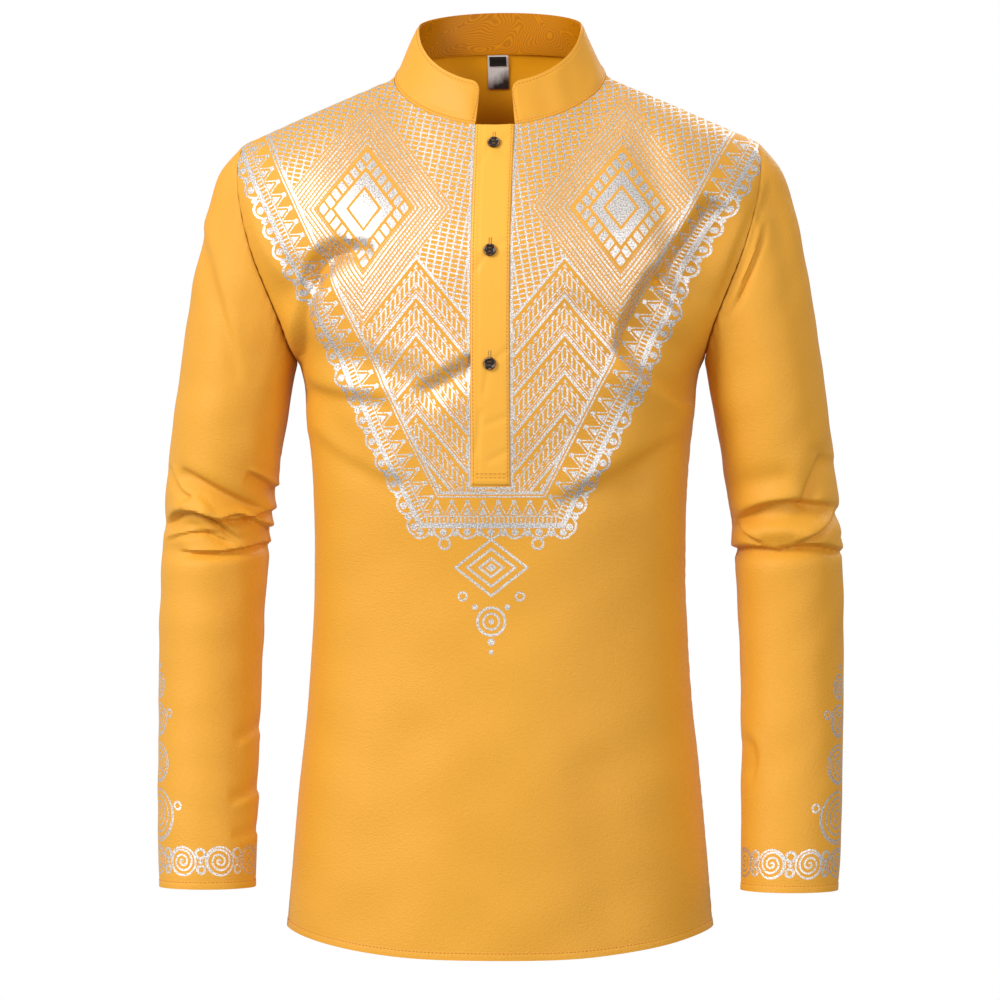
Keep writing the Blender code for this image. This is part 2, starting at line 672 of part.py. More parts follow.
def main():
    for obj in list(bpy.data.objects):
        bpy.data.objects.remove(obj, do_unlink=True)
    wall("front_panel", *panel_grid("front"), GOLD, 0.45, keep=slot_cells)
    wall("back_panel", *panel_grid("back"), GOLD, 0.45)
    wall("sleeve_left", *sleeve_grid(-1.0), GOLD, 0.45, ring=True)
    wall("sleeve_right", *sleeve_grid(1.0), GOLD, 0.45, ring=True)
    wall("collar_band", *collar_grid(0.0, BAND), GOLD, 0.42)
    wall("collar_facing", *collar_grid(BAND + SEAM_GAP, FACING), OCHRE, 0.38)
    wall("placket", *strip_grid(PLACKET_HALF, PLACKET_END, 0, LAY_GAP, BAND), GOLD, 0.45)
    under_end = PLACKET_END - UNDER_SHORTER
    under_lift = -(CLOTH + LAY_GAP + CLOTH)
    wall("placket_under", *strip_grid(UNDER_HALF, under_end, 1, under_lift, CLOTH), OCHRE, 0.5)
    for number, drop in enumerate(BUTTON_DROPS, start=1):
        button("button_" + str(number), drop)
    back_strip("neck_label", LABEL_START, LABEL_LENGTH, LAY_GAP, SILVER_GREY, 0.3)
    back_strip("size_tab", LABEL_START + 1.0, TAB_LENGTH, 2.0 * LAY_GAP + TAPE, BLACK, 0.4)


main()
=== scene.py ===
# %% [markdown]
# # A golden dashiki shirt, worn but empty
#
# The real shirt is sewn from thin golden satin: a front with a buttoned neck opening, a back,
# two long sleeves and a stand collar, with a silver foil ornament pressed on. The solids that
# the script loads give the size and place of every piece. This script dresses them: each cloth
# piece becomes a finer sheet with its own folds, seams and hems, then come buttons, thread and
# the finishes.

# %% Load the solids and keep their box
import math

import bmesh
import bpy
import numpy as np
from mathutils import Matrix, Vector


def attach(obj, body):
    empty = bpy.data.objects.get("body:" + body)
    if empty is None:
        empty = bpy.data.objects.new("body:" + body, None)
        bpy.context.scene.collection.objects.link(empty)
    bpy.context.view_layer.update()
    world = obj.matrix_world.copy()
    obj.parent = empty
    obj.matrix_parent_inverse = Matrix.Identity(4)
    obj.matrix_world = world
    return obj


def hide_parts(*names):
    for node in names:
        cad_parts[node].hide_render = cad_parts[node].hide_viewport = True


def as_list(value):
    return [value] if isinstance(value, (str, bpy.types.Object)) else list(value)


MM = 0.001
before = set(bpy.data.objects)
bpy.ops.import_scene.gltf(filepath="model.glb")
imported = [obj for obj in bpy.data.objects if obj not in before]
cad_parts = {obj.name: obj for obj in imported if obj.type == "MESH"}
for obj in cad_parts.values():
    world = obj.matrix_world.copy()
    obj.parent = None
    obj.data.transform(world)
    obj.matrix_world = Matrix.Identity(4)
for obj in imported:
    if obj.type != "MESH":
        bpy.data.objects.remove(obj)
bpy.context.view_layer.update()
print("solids:", ", ".join(sorted(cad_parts)))

# %% [markdown]
# ## The worn form
#
# A worn shirt is a smooth body with sharp seams, so it can be modelled as a cloth simulation
# on a figure or as formulas. Formulas are chosen here, because the same ones shape the solids,
# and the fine sheets then lie exactly where the solids are. Sizes are millimetres, x runs to
# the viewer's right, y to the back, and "drop" is the distance below the neck points.

# %% Sizes of the cut
NECK_HALF = 91.0
SHOULDER_HALF = 221.0
SHOULDER_DROP = 57.0
ARMHOLE_MID = 150.0
ARMHOLE_HALF = 93.0
ARMPIT_DROP = ARMHOLE_MID + ARMHOLE_HALF
NECK_SHARE = 0.45
BODY_SQUARENESS = 2.15
SIDE_HEM = 726.0
HEM_DIP = 20.0
CUFF_DROP = 692.0
SEAM_GAP = 0.08
SEAM_OFFSET = 0.18
NECK_DEPTH = (53.5, 8.5)
NECK_FALL = (35.2, 11.2)
NECK_BLEND = 60.0
EDGE_BLEND = 14.0
SLEEVE_BLEND_SHARE = 0.35
CLOTH = 0.9

# %% Tables of the worn form
# drop, half width at the side, half width of the middle, depth to the front, to the back
TORSO = (
    (-30.0, 236.0, 236.0, 88.0, 80.0),
    (57.0, 237.0, 236.0, 102.0, 97.0),
    (100.0, 238.0, 232.0, 110.0, 104.0),
    (150.0, 230.0, 221.0, 116.0, 108.0),
    (200.0, 201.5, 203.5, 120.0, 109.0),
    (225.0, 185.5, 193.5, 121.0, 109.0),
    (243.0, 174.5, 187.0, 121.0, 108.0),
    (290.0, 166.5, 174.0, 118.5, 100.5),
    (330.0, 162.0, 166.5, 115.0, 93.0),
    (420.0, 159.0, 159.0, 106.0, 82.0),
    (520.0, 163.5, 163.5, 107.0, 92.0),
    (620.0, 173.5, 173.5, 113.0, 104.0),
    (750.0, 184.0, 184.0, 119.0, 111.0),
)
# distance from the middle, drop where the front and the back start, reach, squareness
RIDGE = (
    (0.0, -44.0, -70.0, 200.0, 185.0, 1.3),
    (40.0, -32.0, -54.0, 185.0, 170.0, 1.3),
    (70.0, -13.0, -26.0, 165.0, 158.0, 1.3),
    (91.0, 0.0, 0.0, 150.0, 145.0, 1.4),
    (125.0, 14.9, 14.9, 138.0, 132.0, 1.75),
    (156.0, 28.5, 28.5, 125.0, 122.0, 2.0),
    (221.0, 57.0, 57.0, 105.0, 105.0, 2.0),
    (260.0, 74.1, 74.1, 105.0, 105.0, 2.0),
)
# armhole seam seen from the front: drop, half width
ARMHOLE = (
    (57.0, 221.0),
    (75.0, 224.0),
    (95.0, 223.0),
    (125.0, 217.0),
    (155.0, 208.0),
    (185.0, 196.0),
    (212.0, 185.0),
    (243.0, 174.5),
)
# sleeve: drop, outer edge, inner edge, y of the middle, half depth
SLEEVE = (
    (57.0, 221.0, 140.0, 0.0, 46.0),
    (80.0, 240.0, 144.0, 0.0, 49.0),
    (115.0, 251.5, 151.0, 0.0, 53.0),
    (150.0, 260.0, 158.0, 0.0, 56.0),
    (200.0, 268.5, 167.0, 1.0, 59.0),
    (251.0, 276.0, 177.4, 3.0, 60.0),
    (337.0, 287.0, 191.0, 7.0, 58.0),
    (405.0, 292.2, 199.7, 8.0, 53.0),
    (491.0, 294.0, 204.8, 1.0, 49.0),
    (577.0, 293.0, 206.5, -12.0, 45.5),
    (662.0, 291.0, 206.7, -27.0, 42.0),
    (700.0, 288.5, 207.2, -33.0, 41.0),
)

# %% Curves through a table
def smooth_table(rows, column, at):
    """Cubic curve through one column of a table whose first column is the key."""
    keys = np.array([row[0] for row in rows])
    values = np.array([row[column] for row in rows])
    slopes = np.gradient(values, keys)
    at = np.clip(at, keys[0], keys[-1])
    low = np.clip(np.searchsorted(keys, at, side="right") - 1, 0, len(keys) - 2)
    span = keys[low + 1] - keys[low]
    f = (at - keys[low]) / span
    rise = (3.0 - 2.0 * f) * f * f
    lean_in = f * (1.0 - f) ** 2 * span * slopes[low]
    lean_out = f * f * (f - 1.0) * span * slopes[low + 1]
    return values[low] + (values[low + 1] - values[low]) * rise + lean_in + lean_out


def ease(f):
    """Soft step from 0 to 1."""
    f = np.clip(f, 0.0, 1.0)
    return f * f * (3.0 - 2.0 * f)


def hump(distance, half):
    """Soft bump that is 1 at no distance."""
    return np.exp(-((distance / half) ** 2))


# %% The body sheet
def neck_ring(turn):
    """Neck seam by its turn: 0 at the centre front, pi/2 at a neck point, pi at the back."""
    c = np.cos(turn)
    x = NECK_HALF * np.sin(turn)
    y = -NECK_DEPTH[0] * c - NECK_DEPTH[1] * c * c
    drop = NECK_FALL[0] * c + NECK_FALL[1] * c * c
    return x, y, drop


def torso_depth(face, x, drop):
    """How far the body sheet lies from the plane of the shoulder seams."""
    columns = (3, 1, 3) if face == "front" else (4, 2, 4)
    full = smooth_table(TORSO, columns[0], drop)
    side_half = smooth_table(TORSO, 1, drop)
    outward = np.clip(np.abs(x) / side_half, 0.0, 1.0) ** 5
    half = side_half * outward + smooth_table(TORSO, 2, drop) * (1.0 - outward)
    around = np.clip(1.0 - np.abs(x / half) ** BODY_SQUARENESS, 0.0, 1.0) ** (1.0 / BODY_SQUARENESS)
    shoulder = SHOULDER_DROP * (np.abs(x) - NECK_HALF) / (SHOULDER_HALF - NECK_HALF)
    start = np.where(np.abs(x) < NECK_HALF, smooth_table(RIDGE, columns[1], np.abs(x)), shoulder)
    reach = smooth_table(RIDGE, columns[2], np.abs(x))
    power = smooth_table(RIDGE, 5, np.abs(x))
    u = np.clip((drop - start) / reach, 0.0, 1.0)
    return full * around * (1.0 - (1.0 - u) ** power) ** (1.0 / power)


def armhole(turn, face):
    """Armhole seam by its turn: 0 at the shoulder point, pi at the armpit."""
    drop = ARMHOLE_MID - ARMHOLE_HALF * np.cos(turn)
    x = smooth_table(ARMHOLE, 1, drop)
    y = torso_depth(face, x, drop) * ease(np.minimum(turn, np.pi - turn) * 9.0)
    return x, y, drop


# %% A point of the front or back
def panel_point(face, s, t):
    """Point of the front or back: s runs across, t is 0 to 1 along the armhole and 1 to 2
    along the side seam."""
    side = np.sign(s)
    s = np.abs(s)
    arm_x, arm_y, arm_drop = armhole(np.pi * np.clip(t, 0.0, 1.0), face)
    below = np.clip(t - 1.0, 0.0, 1.0)
    seam_drop = ARMPIT_DROP + (SIDE_HEM - ARMPIT_DROP) * below
    edge_drop = np.where(t <= 1.0, arm_drop, seam_drop)
    edge_x = np.where(t <= 1.0, arm_x, smooth_table(TORSO, 1, seam_drop))
    edge_y = np.where(t <= 1.0, arm_y, 0.0)

    in_neck = s <= NECK_SHARE
    neck_turn = 0.5 * np.pi * np.clip(s / NECK_SHARE, 0.0, 1.0)
    if face == "back":
        neck_turn = np.pi - neck_turn
    neck_x, neck_y, neck_drop = neck_ring(neck_turn)
    out = np.clip((s - NECK_SHARE) / (1.0 - NECK_SHARE), 0.0, 1.0)
    top_x = np.where(in_neck, neck_x, NECK_HALF + (SHOULDER_HALF - NECK_HALF) * out)
    top_y = np.where(in_neck, np.abs(neck_y), 0.0)
    top_drop = np.where(in_neck, neck_drop, SHOULDER_DROP * out)

    q = np.sin(0.5 * np.pi * s)
    down = (edge_drop - SHOULDER_DROP) / (ARMPIT_DROP - SHOULDER_DROP)
    x = edge_x * q + (top_x - SHOULDER_HALF * q) * (1.0 - ease(down))
    dip = HEM_DIP * (1.0 - q ** 3) * below ** 2
    drop = edge_drop + (top_drop - SHOULDER_DROP) * (1.0 - ease(down / 1.3)) + dip

    blend = EDGE_BLEND + (NECK_BLEND - EDGE_BLEND) * (1.0 - np.clip(s / NECK_SHARE, 0.0, 1.0) ** 3)
    near_top = 1.0 - ease((drop - top_drop) / blend)
    to_seam = top_y - torso_depth(face, top_x, top_drop)
    depth = torso_depth(face, x, drop) + to_seam * near_top
    depth = np.where(s >= 1.0, edge_y, depth)
    y = np.maximum(depth, 0.5 * SEAM_GAP)
    if face == "front":
        y = -y
    return np.stack([side * x, y, -drop], axis=-1)


# %% The sleeve sheet
def sleeve_section(turn, share):
    """Plain section of the sleeve: turn 0 at its outer side, pi at its inner side."""
    middle = ARMHOLE_MID + (CUFF_DROP - ARMHOLE_MID) * share
    tilt = ARMHOLE_HALF * np.clip(1.0 - share / 0.5, 0.0, 1.0) ** 2
    drop = middle - tilt * np.cos(turn)
    outer = smooth_table(SLEEVE, 1, drop)
    inner = smooth_table(SLEEVE, 2, drop)
    x = 0.5 * (outer + inner) + 0.5 * (outer - inner) * np.cos(turn)
    y = smooth_table(SLEEVE, 3, drop) - smooth_table(SLEEVE, 4, drop) * np.sin(turn)
    return x, y, drop


def sleeve_point(turn, share):
    """Sleeve point on the viewer's right, eased from the armhole seam to the sections."""
    x, y, drop = sleeve_section(turn, share)
    start_x, start_y, start_drop = sleeve_section(turn, 0.0 * share)
    half_turn = np.where(turn <= np.pi, turn, 2.0 * np.pi - turn)
    front = armhole(half_turn, "front")
    back = armhole(half_turn, "back")
    is_front = turn <= np.pi
    seam_x = np.where(is_front, front[0], back[0]) + SEAM_OFFSET
    seam_y = np.where(is_front, -front[1], back[1])
    seam_drop = np.where(is_front, front[2], back[2])
    hold = 1.0 - ease(share / SLEEVE_BLEND_SHARE)
    x = x + (seam_x - start_x) * hold
    y = y + (seam_y - start_y) * hold
    drop = drop + (seam_drop - start_drop) * hold
    return np.stack([x, y, -drop], axis=-1)


# %% [markdown]
# ## Folds
#
# Satin falls in a few long soft folds where it hangs from the armpits, and breaks into short
# sharp ones at a bent elbow. They could be sculpted by hand. Here each fold is one row of a
# table: a line on the shirt as seen from the front, how wide and deep its trough is, and how
# much steeper one of its flanks is. The row is easy to read and to move.

# %% Tables of folds
# start x and drop, end x and drop, half width, depth, lean
FRONT_FOLDS = (
    (-176.0, 190.0, -118.0, 140.0, 15.0, 5.0, 0.0),
    (-160.0, 236.0, -60.0, 262.0, 14.0, 3.5, 0.0),
    (-165.0, 262.0, -112.0, 330.0, 15.0, 3.0, 0.0),
    (128.0, 66.0, 172.0, 190.0, 17.0, 6.0, 0.0),
    (150.0, 235.0, 64.0, 205.0, 15.0, 4.0, 0.0),
    (166.0, 262.0, 120.0, 350.0, 15.0, 3.5, 0.0),
    (-70.0, 560.0, -92.0, 760.0, 24.0, 2.2, 0.0),
    (84.0, 590.0, 104.0, 760.0, 24.0, 2.6, 0.0),
)
BACK_FOLDS = (
    (-172.0, 200.0, -90.0, 150.0, 17.0, 5.0, 0.0),
    (172.0, 200.0, 96.0, 158.0, 17.0, 5.0, 0.0),
    (-150.0, 262.0, -70.0, 300.0, 16.0, 4.0, 0.0),
    (152.0, 258.0, 66.0, 290.0, 16.0, 4.0, 0.0),
    (-110.0, 400.0, 10.0, 428.0, 20.0, 4.0, 0.0),
    (110.0, 410.0, -20.0, 452.0, 20.0, 3.5, 0.0),
    (-60.0, 560.0, -80.0, 760.0, 26.0, 4.0, 0.0),
    (56.0, 580.0, 78.0, 760.0, 26.0, 4.0, 0.0),
    (-170.0, 222.0, -104.0, 190.0, 7.0, 2.2, 0.4),
    (170.0, 220.0, 108.0, 196.0, 7.0, 2.2, -0.4),
    (-140.0, 376.0, -40.0, 392.0, 9.0, 2.0, 0.4),
    (136.0, 372.0, 30.0, 404.0, 9.0, 1.9, -0.4),
    (-130.0, 436.0, 30.0, 470.0, 10.0, 1.8, 0.4),
    (0.0, 520.0, 6.0, 745.0, 17.0, 2.0, 0.3),
    (-128.0, 530.0, -146.0, 730.0, 15.0, 2.2, 0.3),
    (128.0, 530.0, 148.0, 730.0, 15.0, 2.2, -0.3),
)
LEFT_FOLDS = (
    (-292.0, 380.0, -231.0, 391.0, 9.0, 6.0, 0.0),
    (-280.0, 405.0, -203.0, 399.0, 9.0, 5.0, 0.0),
    (-266.0, 343.0, -208.0, 369.0, 10.0, 5.5, 0.0),
    (-222.0, 380.0, -197.0, 398.0, 8.0, 4.5, 0.0),
    (-272.0, 366.0, -250.0, 372.0, 9.0, -3.0, 0.0),
)
RIGHT_FOLDS = (
    (195.0, 380.0, 289.0, 371.0, 9.0, 6.5, 0.0),
    (197.0, 407.0, 292.0, 402.0, 9.0, 5.5, 0.0),
    (275.0, 326.0, 261.0, 364.0, 10.0, 5.0, 0.0),
    (203.0, 350.0, 240.0, 344.0, 11.0, 4.0, 0.0),
    (205.0, 388.0, 262.0, 388.0, 8.0, -3.0, 0.0),
)

# %% Tables of creases
# start, middle and end as x and drop, height of the lip over the line, depth of the groove
# under it, width of each, width of the step between them
FRONT_CREASES = (
    (-162.0, 186.0, -141.0, 153.0, -96.0, 150.0, 4.2, 12.0, 16.0, 14.0, 3.2),
    (-173.0, 252.0, -166.0, 205.0, -157.0, 172.0, 2.8, 9.0, 12.0, 12.0, 2.8),
    (-66.0, 272.0, -36.0, 257.0, -8.0, 238.0, 2.6, 6.5, 16.0, 14.0, 3.2),
    (134.0, 178.0, 160.0, 150.0, 182.0, 104.0, 3.4, 20.0, 15.0, 28.0, 6.4),
    (104.0, 243.0, 122.0, 194.0, 139.0, 170.0, 3.0, 13.0, 14.0, 25.0, 4.8),
    (104.0, 240.0, 135.0, 265.0, 172.0, 284.0, -3.6, -6.0, 14.0, 20.0, 3.2),
    (-166.0, 262.0, -137.0, 272.0, -82.0, 277.0, 2.2, 3.8, 14.0, 14.0, 3.0),
    (-160.0, 300.0, -120.0, 330.0, -70.0, 348.0, 1.8, 2.8, 20.0, 20.0, 4.6),
    (50.0, 364.0, 106.0, 337.0, 164.0, 302.0, 2.4, 3.8, 20.0, 22.0, 4.6),
    (184.0, 208.0, 211.0, 132.0, 226.0, 90.0, 1.4, 4.6, 9.0, 7.0, 2.0),
    (-208.0, 96.0, -196.0, 140.0, -168.0, 178.0, -1.2, -2.6, 12.0, 12.0, 3.2),
)
BACK_CREASES = (
    (-168.0, 214.0, -130.0, 180.0, -88.0, 160.0, 2.6, 5.0, 14.0, 14.0, 3.4),
    (84.0, 166.0, 128.0, 186.0, 170.0, 216.0, 2.6, 5.0, 14.0, 14.0, 3.4),
    (-146.0, 372.0, -70.0, 398.0, 20.0, 396.0, 2.8, 3.8, 12.0, 13.0, 2.8),
    (-30.0, 436.0, 60.0, 430.0, 140.0, 392.0, 2.6, 3.8, 12.0, 13.0, 2.8),
    (-120.0, 440.0, -40.0, 462.0, 40.0, 470.0, 2.0, 2.8, 12.0, 13.0, 2.8),
)
LEFT_CREASES = (
    (-290.0, 384.0, -258.0, 373.0, -217.0, 397.0, 3.6, 5.4, 7.0, 4.2, 0.8),
    (-287.0, 396.5, -263.0, 390.0, -232.0, 390.4, 1.8, 2.6, 5.0, 4.0, 0.8),
    (-276.0, 405.0, -229.0, 406.0, -188.0, 395.0, 3.4, 4.8, 8.0, 6.0, 0.9),
    (-236.0, 380.0, -211.0, 377.0, -187.0, 398.0, 3.2, 5.6, 4.5, 6.5, 0.8),
    (-258.0, 371.0, -220.0, 380.0, -186.0, 362.0, 4.2, 4.0, 8.0, 5.5, 1.0),
    (-272.0, 334.0, -238.0, 351.5, -197.0, 371.0, 2.4, 4.2, 10.0, 8.0, 1.6),
    (-212.0, 338.0, -195.0, 349.0, -185.0, 366.0, 2.8, 5.6, 4.0, 9.0, 1.2),
    (-281.0, 332.0, -272.0, 352.0, -252.0, 362.0, 1.4, 2.8, 6.0, 5.0, 1.0),
    (-271.0, 372.0, -257.0, 360.0, -240.0, 373.0, -0.8, -2.6, 4.0, 6.0, 0.9),
    (-248.0, 388.0, -240.0, 393.0, -222.0, 399.0, 1.0, 2.4, 4.0, 4.0, 0.8),
    (-268.0, 100.0, -238.0, 180.0, -214.0, 262.0, 1.6, 3.4, 12.0, 12.0, 3.6),
    (-190.0, 545.0, -203.0, 558.0, -222.0, 570.0, 1.4, 3.0, 7.0, 8.0, 1.8),
    (-190.0, 595.0, -205.0, 611.0, -226.0, 620.0, 1.6, 3.4, 8.0, 8.0, 1.8),
    (-194.0, 637.0, -207.0, 647.0, -224.0, 651.0, 1.2, 2.4, 7.0, 7.0, 1.8),
)
RIGHT_CREASES = (
    (199.0, 381.0, 236.0, 364.5, 293.0, 367.5, 3.6, 5.6, 9.0, 8.0, 1.2),
    (252.0, 399.0, 277.5, 386.0, 291.0, 366.0, 4.0, 5.6, 9.0, 5.5, 0.8),
    (201.0, 380.5, 210.8, 390.4, 226.0, 399.0, 2.2, 4.0, 6.0, 4.0, 0.8),
    (193.0, 411.0, 204.0, 402.0, 240.0, 405.0, 3.2, 5.0, 8.0, 5.5, 0.8),
    (230.0, 405.5, 270.0, 400.0, 295.0, 407.0, 3.4, 5.0, 8.0, 5.5, 0.8),
    (256.0, 368.0, 266.7, 345.6, 276.0, 322.0, 2.2, 6.4, 9.0, 12.0, 2.2),
    (188.0, 212.0, 211.0, 146.0, 231.0, 90.0, 2.8, 5.0, 5.0, 5.0, 1.2),
    (197.0, 206.0, 216.0, 162.0, 226.0, 128.0, 2.4, 4.4, 4.5, 4.5, 1.2),
    (209.0, 560.0, 220.0, 575.0, 216.0, 600.0, 1.0, 2.2, 9.0, 9.0, 2.4),
)


# %% Depth of folds, height of creases
def fold_depth(x, drop, folds):
    """How far the folds push a point in."""
    depth = np.zeros(np.shape(x))
    for x0, d0, x1, d1, half, deep, lean in folds:
        along_x, along_d = x1 - x0, d1 - d0
        length = math.hypot(along_x, along_d)
        along = ((x - x0) * along_x + (drop - d0) * along_d) / length
        beyond = along - np.clip(along, 0.0, length)
        side = ((x - x0) * along_d - (drop - d0) * along_x) / length
        width = half * np.where(side > 0.0, 1.0 + lean, 1.0 - lean)
        depth = depth + deep * hump(side, width) * hump(beyond, half)
    return depth


def crease_height(x, drop, creases):
    """Height of lapped folds: a lip over a curved line and a groove under it."""
    height = np.zeros(np.shape(x))
    u = np.linspace(0.0, 1.0, 33)
    for x0, d0, x1, d1, x2, d2, lip, groove, lip_width, groove_width, step in creases:
        bend_x, bend_d = 2.0 * x1 - 0.5 * (x0 + x2), 2.0 * d1 - 0.5 * (d0 + d2)
        line_x = (1.0 - u) ** 2 * x0 + 2.0 * u * (1.0 - u) * bend_x + u ** 2 * x2
        line_d = (1.0 - u) ** 2 * d0 + 2.0 * u * (1.0 - u) * bend_d + u ** 2 * d2
        reach = 3.0 * max(lip_width, groove_width)
        close = ((x > line_x.min() - reach) & (x < line_x.max() + reach)
                 & (drop > line_d.min() - reach) & (drop < line_d.max() + reach))
        px, pd = x[close], drop[close]
        run_x, run_d = np.diff(line_x), np.diff(line_d)
        length = np.hypot(run_x, run_d)
        away_x = px[:, None] - line_x[None, :-1]
        away_d = pd[:, None] - line_d[None, :-1]
        share = (away_x * run_x + away_d * run_d) / length ** 2
        held = np.clip(share, 0.0, 1.0)
        far = np.hypot(away_x - held * run_x, away_d - held * run_d)
        nearest = np.argmin(far, axis=1)
        pick = np.arange(len(px))
        under = (run_x * away_d - run_d * away_x)[pick, nearest] / length[nearest]
        place = (nearest + held[pick, nearest]) / len(run_x)
        beyond = np.sqrt(np.clip(far[pick, nearest] ** 2 - under ** 2, 0.0, None))
        below = 0.5 + 0.5 * np.tanh(under / step)
        shape = lip * hump(under, lip_width) * (1.0 - below) - groove * hump(under, groove_width) * below
        taper = 1.0 - np.abs(2.0 * place - 1.0) ** 5
        height[close] += shape * taper * hump(beyond, 3.0)
    return height


def ripple(x, drop, pitch, seed):
    """Slow waves in every direction, about 1 high, that stop the satin looking ironed."""
    draw = np.random.default_rng(seed)
    total = np.zeros(np.shape(x))
    for _ in range(9):
        angle, phase = draw.uniform(0.0, 2.0 * np.pi, 2)
        length = pitch * draw.uniform(0.7, 1.5)
        total = total + np.sin(2.0 * np.pi * (x * np.cos(angle) + drop * np.sin(angle)) / length + phase)
    return total / 3.0


# folds, creases and seed of the waves
PANEL_FOLDS = {
    "front": (FRONT_FOLDS, FRONT_CREASES, 11),
    "back": (BACK_FOLDS, BACK_CREASES, 23),
}
SLEEVE_FOLDS = {
    "left": (LEFT_FOLDS, LEFT_CREASES, 5),
    "right": (RIGHT_FOLDS, RIGHT_CREASES, 7),
}
tables = list(PANEL_FOLDS.values()) + list(SLEEVE_FOLDS.values())
print("folds:", sum(len(folds) for folds, _, _ in tables))
print("creases:", sum(len(creases) for _, creases, _ in tables))

# %% [markdown]
# ## Sheets of cloth
#
# A sheet is a grid of points. Blender could thicken it with a Solidify modifier. Building both
# faces in code keeps the outer face exactly on its formula, lets the cut edges close cleanly,
# and gives the inner face its own slot, because the ornament shows on the outside only. Every
# corner also gets its place on the flat cut, which the prints are drawn on.

# %% Grids that crowd towards seams
def crowded(length, step, seams, fine, reach=9.0):
    """Places from 0 to length, one step apart and closer together near each seam."""
    at = np.linspace(0.0, length, 4001)
    nearest = np.min(np.abs(at[:, None] - np.array(seams)), axis=1)
    spacing = step - (step - fine) * hump(nearest, reach)
    count = np.concatenate([[0.0], np.cumsum(np.diff(at) / spacing[1:])])
    return np.interp(np.linspace(0.0, count[-1], int(round(count[-1])) + 1), count, at)


def unit(vectors):
    """Vectors of length 1."""
    return vectors / np.maximum(np.linalg.norm(vectors, axis=-1, keepdims=True), 1.0e-9)


def normals_of(points, outward, ring=False):
    """Unit normals of a grid, on the side that outward names."""
    if ring:
        wide = np.concatenate([points[:, -1:], points, points[:, :1]], axis=1)
        across = wide[:, 2:] - wide[:, :-2]
    else:
        across = np.gradient(points, axis=1)
    normals = unit(np.cross(np.gradient(points, axis=0), across))
    flip = np.sum(normals * outward, axis=-1, keepdims=True) < 0.0
    return np.where(flip, -normals, normals)


def arc(points, axis):
    """Distance along the rows (axis 1) or down the columns (axis 0) of a grid."""
    steps = np.linalg.norm(np.diff(points, axis=axis), axis=-1)
    first = np.zeros_like(np.take(steps, [0], axis=axis))
    return np.concatenate([first, np.cumsum(steps, axis=axis)], axis=axis)


# %% Sheet builder
SEAM_ANGLE = math.radians(60.0)


def add_piece(name, mesh, materials):
    """Object with its finishes, linked to the scene."""
    piece = bpy.data.objects.new(name, mesh)
    for material in materials:
        mesh.materials.append(material)
    bpy.context.scene.collection.objects.link(piece)
    return piece


def sheet_mesh(name, outer, inner, flat, ring=False, keep=None):
    """Closed sheet between two grids; flat holds each corner's place on the cut, in metres."""
    rows, cols = outer.shape[:2]
    layer = rows * cols
    r, c = np.meshgrid(np.arange(rows - 1), np.arange(cols if ring else cols - 1), indexing="ij")
    r, c = r.ravel(), c.ravel()
    if keep is not None:
        chosen = keep[r, c]
        r, c = r[chosen], c[chosen]
    corner_rows = np.stack([r, r, r + 1, r + 1], axis=1)
    corner_cols = np.stack([c, c + 1, c + 1, c], axis=1)
    index = corner_rows * cols + corner_cols % cols
    on_cut = flat[corner_rows, corner_cols]

    sides = np.concatenate([index[:, [k, (k + 1) % 4]] for k in range(4)])
    side_cut = np.concatenate([on_cut[:, [k, (k + 1) % 4]] for k in range(4)])
    keys = np.sort(sides, axis=1)
    keys = keys[:, 0] * (2 * layer) + keys[:, 1]
    uses, count = np.unique(keys, return_counts=True)
    rim = np.isin(keys, uses[count == 1])
    sides, side_cut = sides[rim], side_cut[rim]
    rim_faces = np.concatenate([sides[:, ::-1], sides + layer], axis=1)
    rim_cut = np.concatenate([side_cut[:, ::-1], side_cut], axis=1)

    faces = np.concatenate([index, index[:, ::-1] + layer, rim_faces])
    cut = np.concatenate([on_cut, on_cut[:, ::-1], rim_cut])
    slots = np.concatenate([np.zeros(len(index)), np.ones(len(index)), np.zeros(len(rim_faces))])
    used, faces = np.unique(faces, return_inverse=True)
    corners = np.concatenate([outer.reshape(-1, 3), inner.reshape(-1, 3)])[used] * MM
    mesh = bpy.data.meshes.new(name)
    mesh.from_pydata(corners.tolist(), [], faces.reshape(-1, 4).tolist())
    mesh.polygons.foreach_set("material_index", slots.astype(np.int32))
    place = mesh.uv_layers.new(name="cut")
    place.uv.foreach_set("vector", cut.reshape(-1).astype(np.float32))
    shape = bmesh.new()
    shape.from_mesh(mesh)
    if shape.calc_volume(signed=True) < 0.0:
        bmesh.ops.reverse_faces(shape, faces=shape.faces)
    shape.to_mesh(mesh)
    shape.free()
    mesh.shade_smooth()
    mesh.set_sharp_from_angle(angle=SEAM_ANGLE)
    return mesh


# %% [markdown]
# ## Front and back
#
# Each body panel runs from the neck and shoulder to the hem, and is sewn to its neighbours in
# a seam that pulls the cloth in. The last few millimetres at each edge therefore dip inwards,
# with small puckers, and the turned hem is a little thicker than the rest.

# %% Seam and hem relief
SEAM_DIP = 0.75
SEAM_ROLL = 2.2
PUCKER = 0.4
PUCKER_PITCH = 2.3
PUCKER_DRIFT = (11.0, 31.0)
HEM_STITCH = 6.0
HEM_SWELL = 0.5
HEM_STITCH_DIP = 0.55


def seam_relief(distance, along, seed):
    """How far the cloth sinks at a distance from a seam, at a place along it."""
    drift = 1.7 * np.sin(along / PUCKER_DRIFT[0] + seed)
    wave = np.sin(along / PUCKER_PITCH + drift) * np.sin(along / PUCKER_DRIFT[1] + seed)
    return SEAM_DIP * hump(distance, SEAM_ROLL) + PUCKER * wave * hump(distance - 3.0, 8.0)


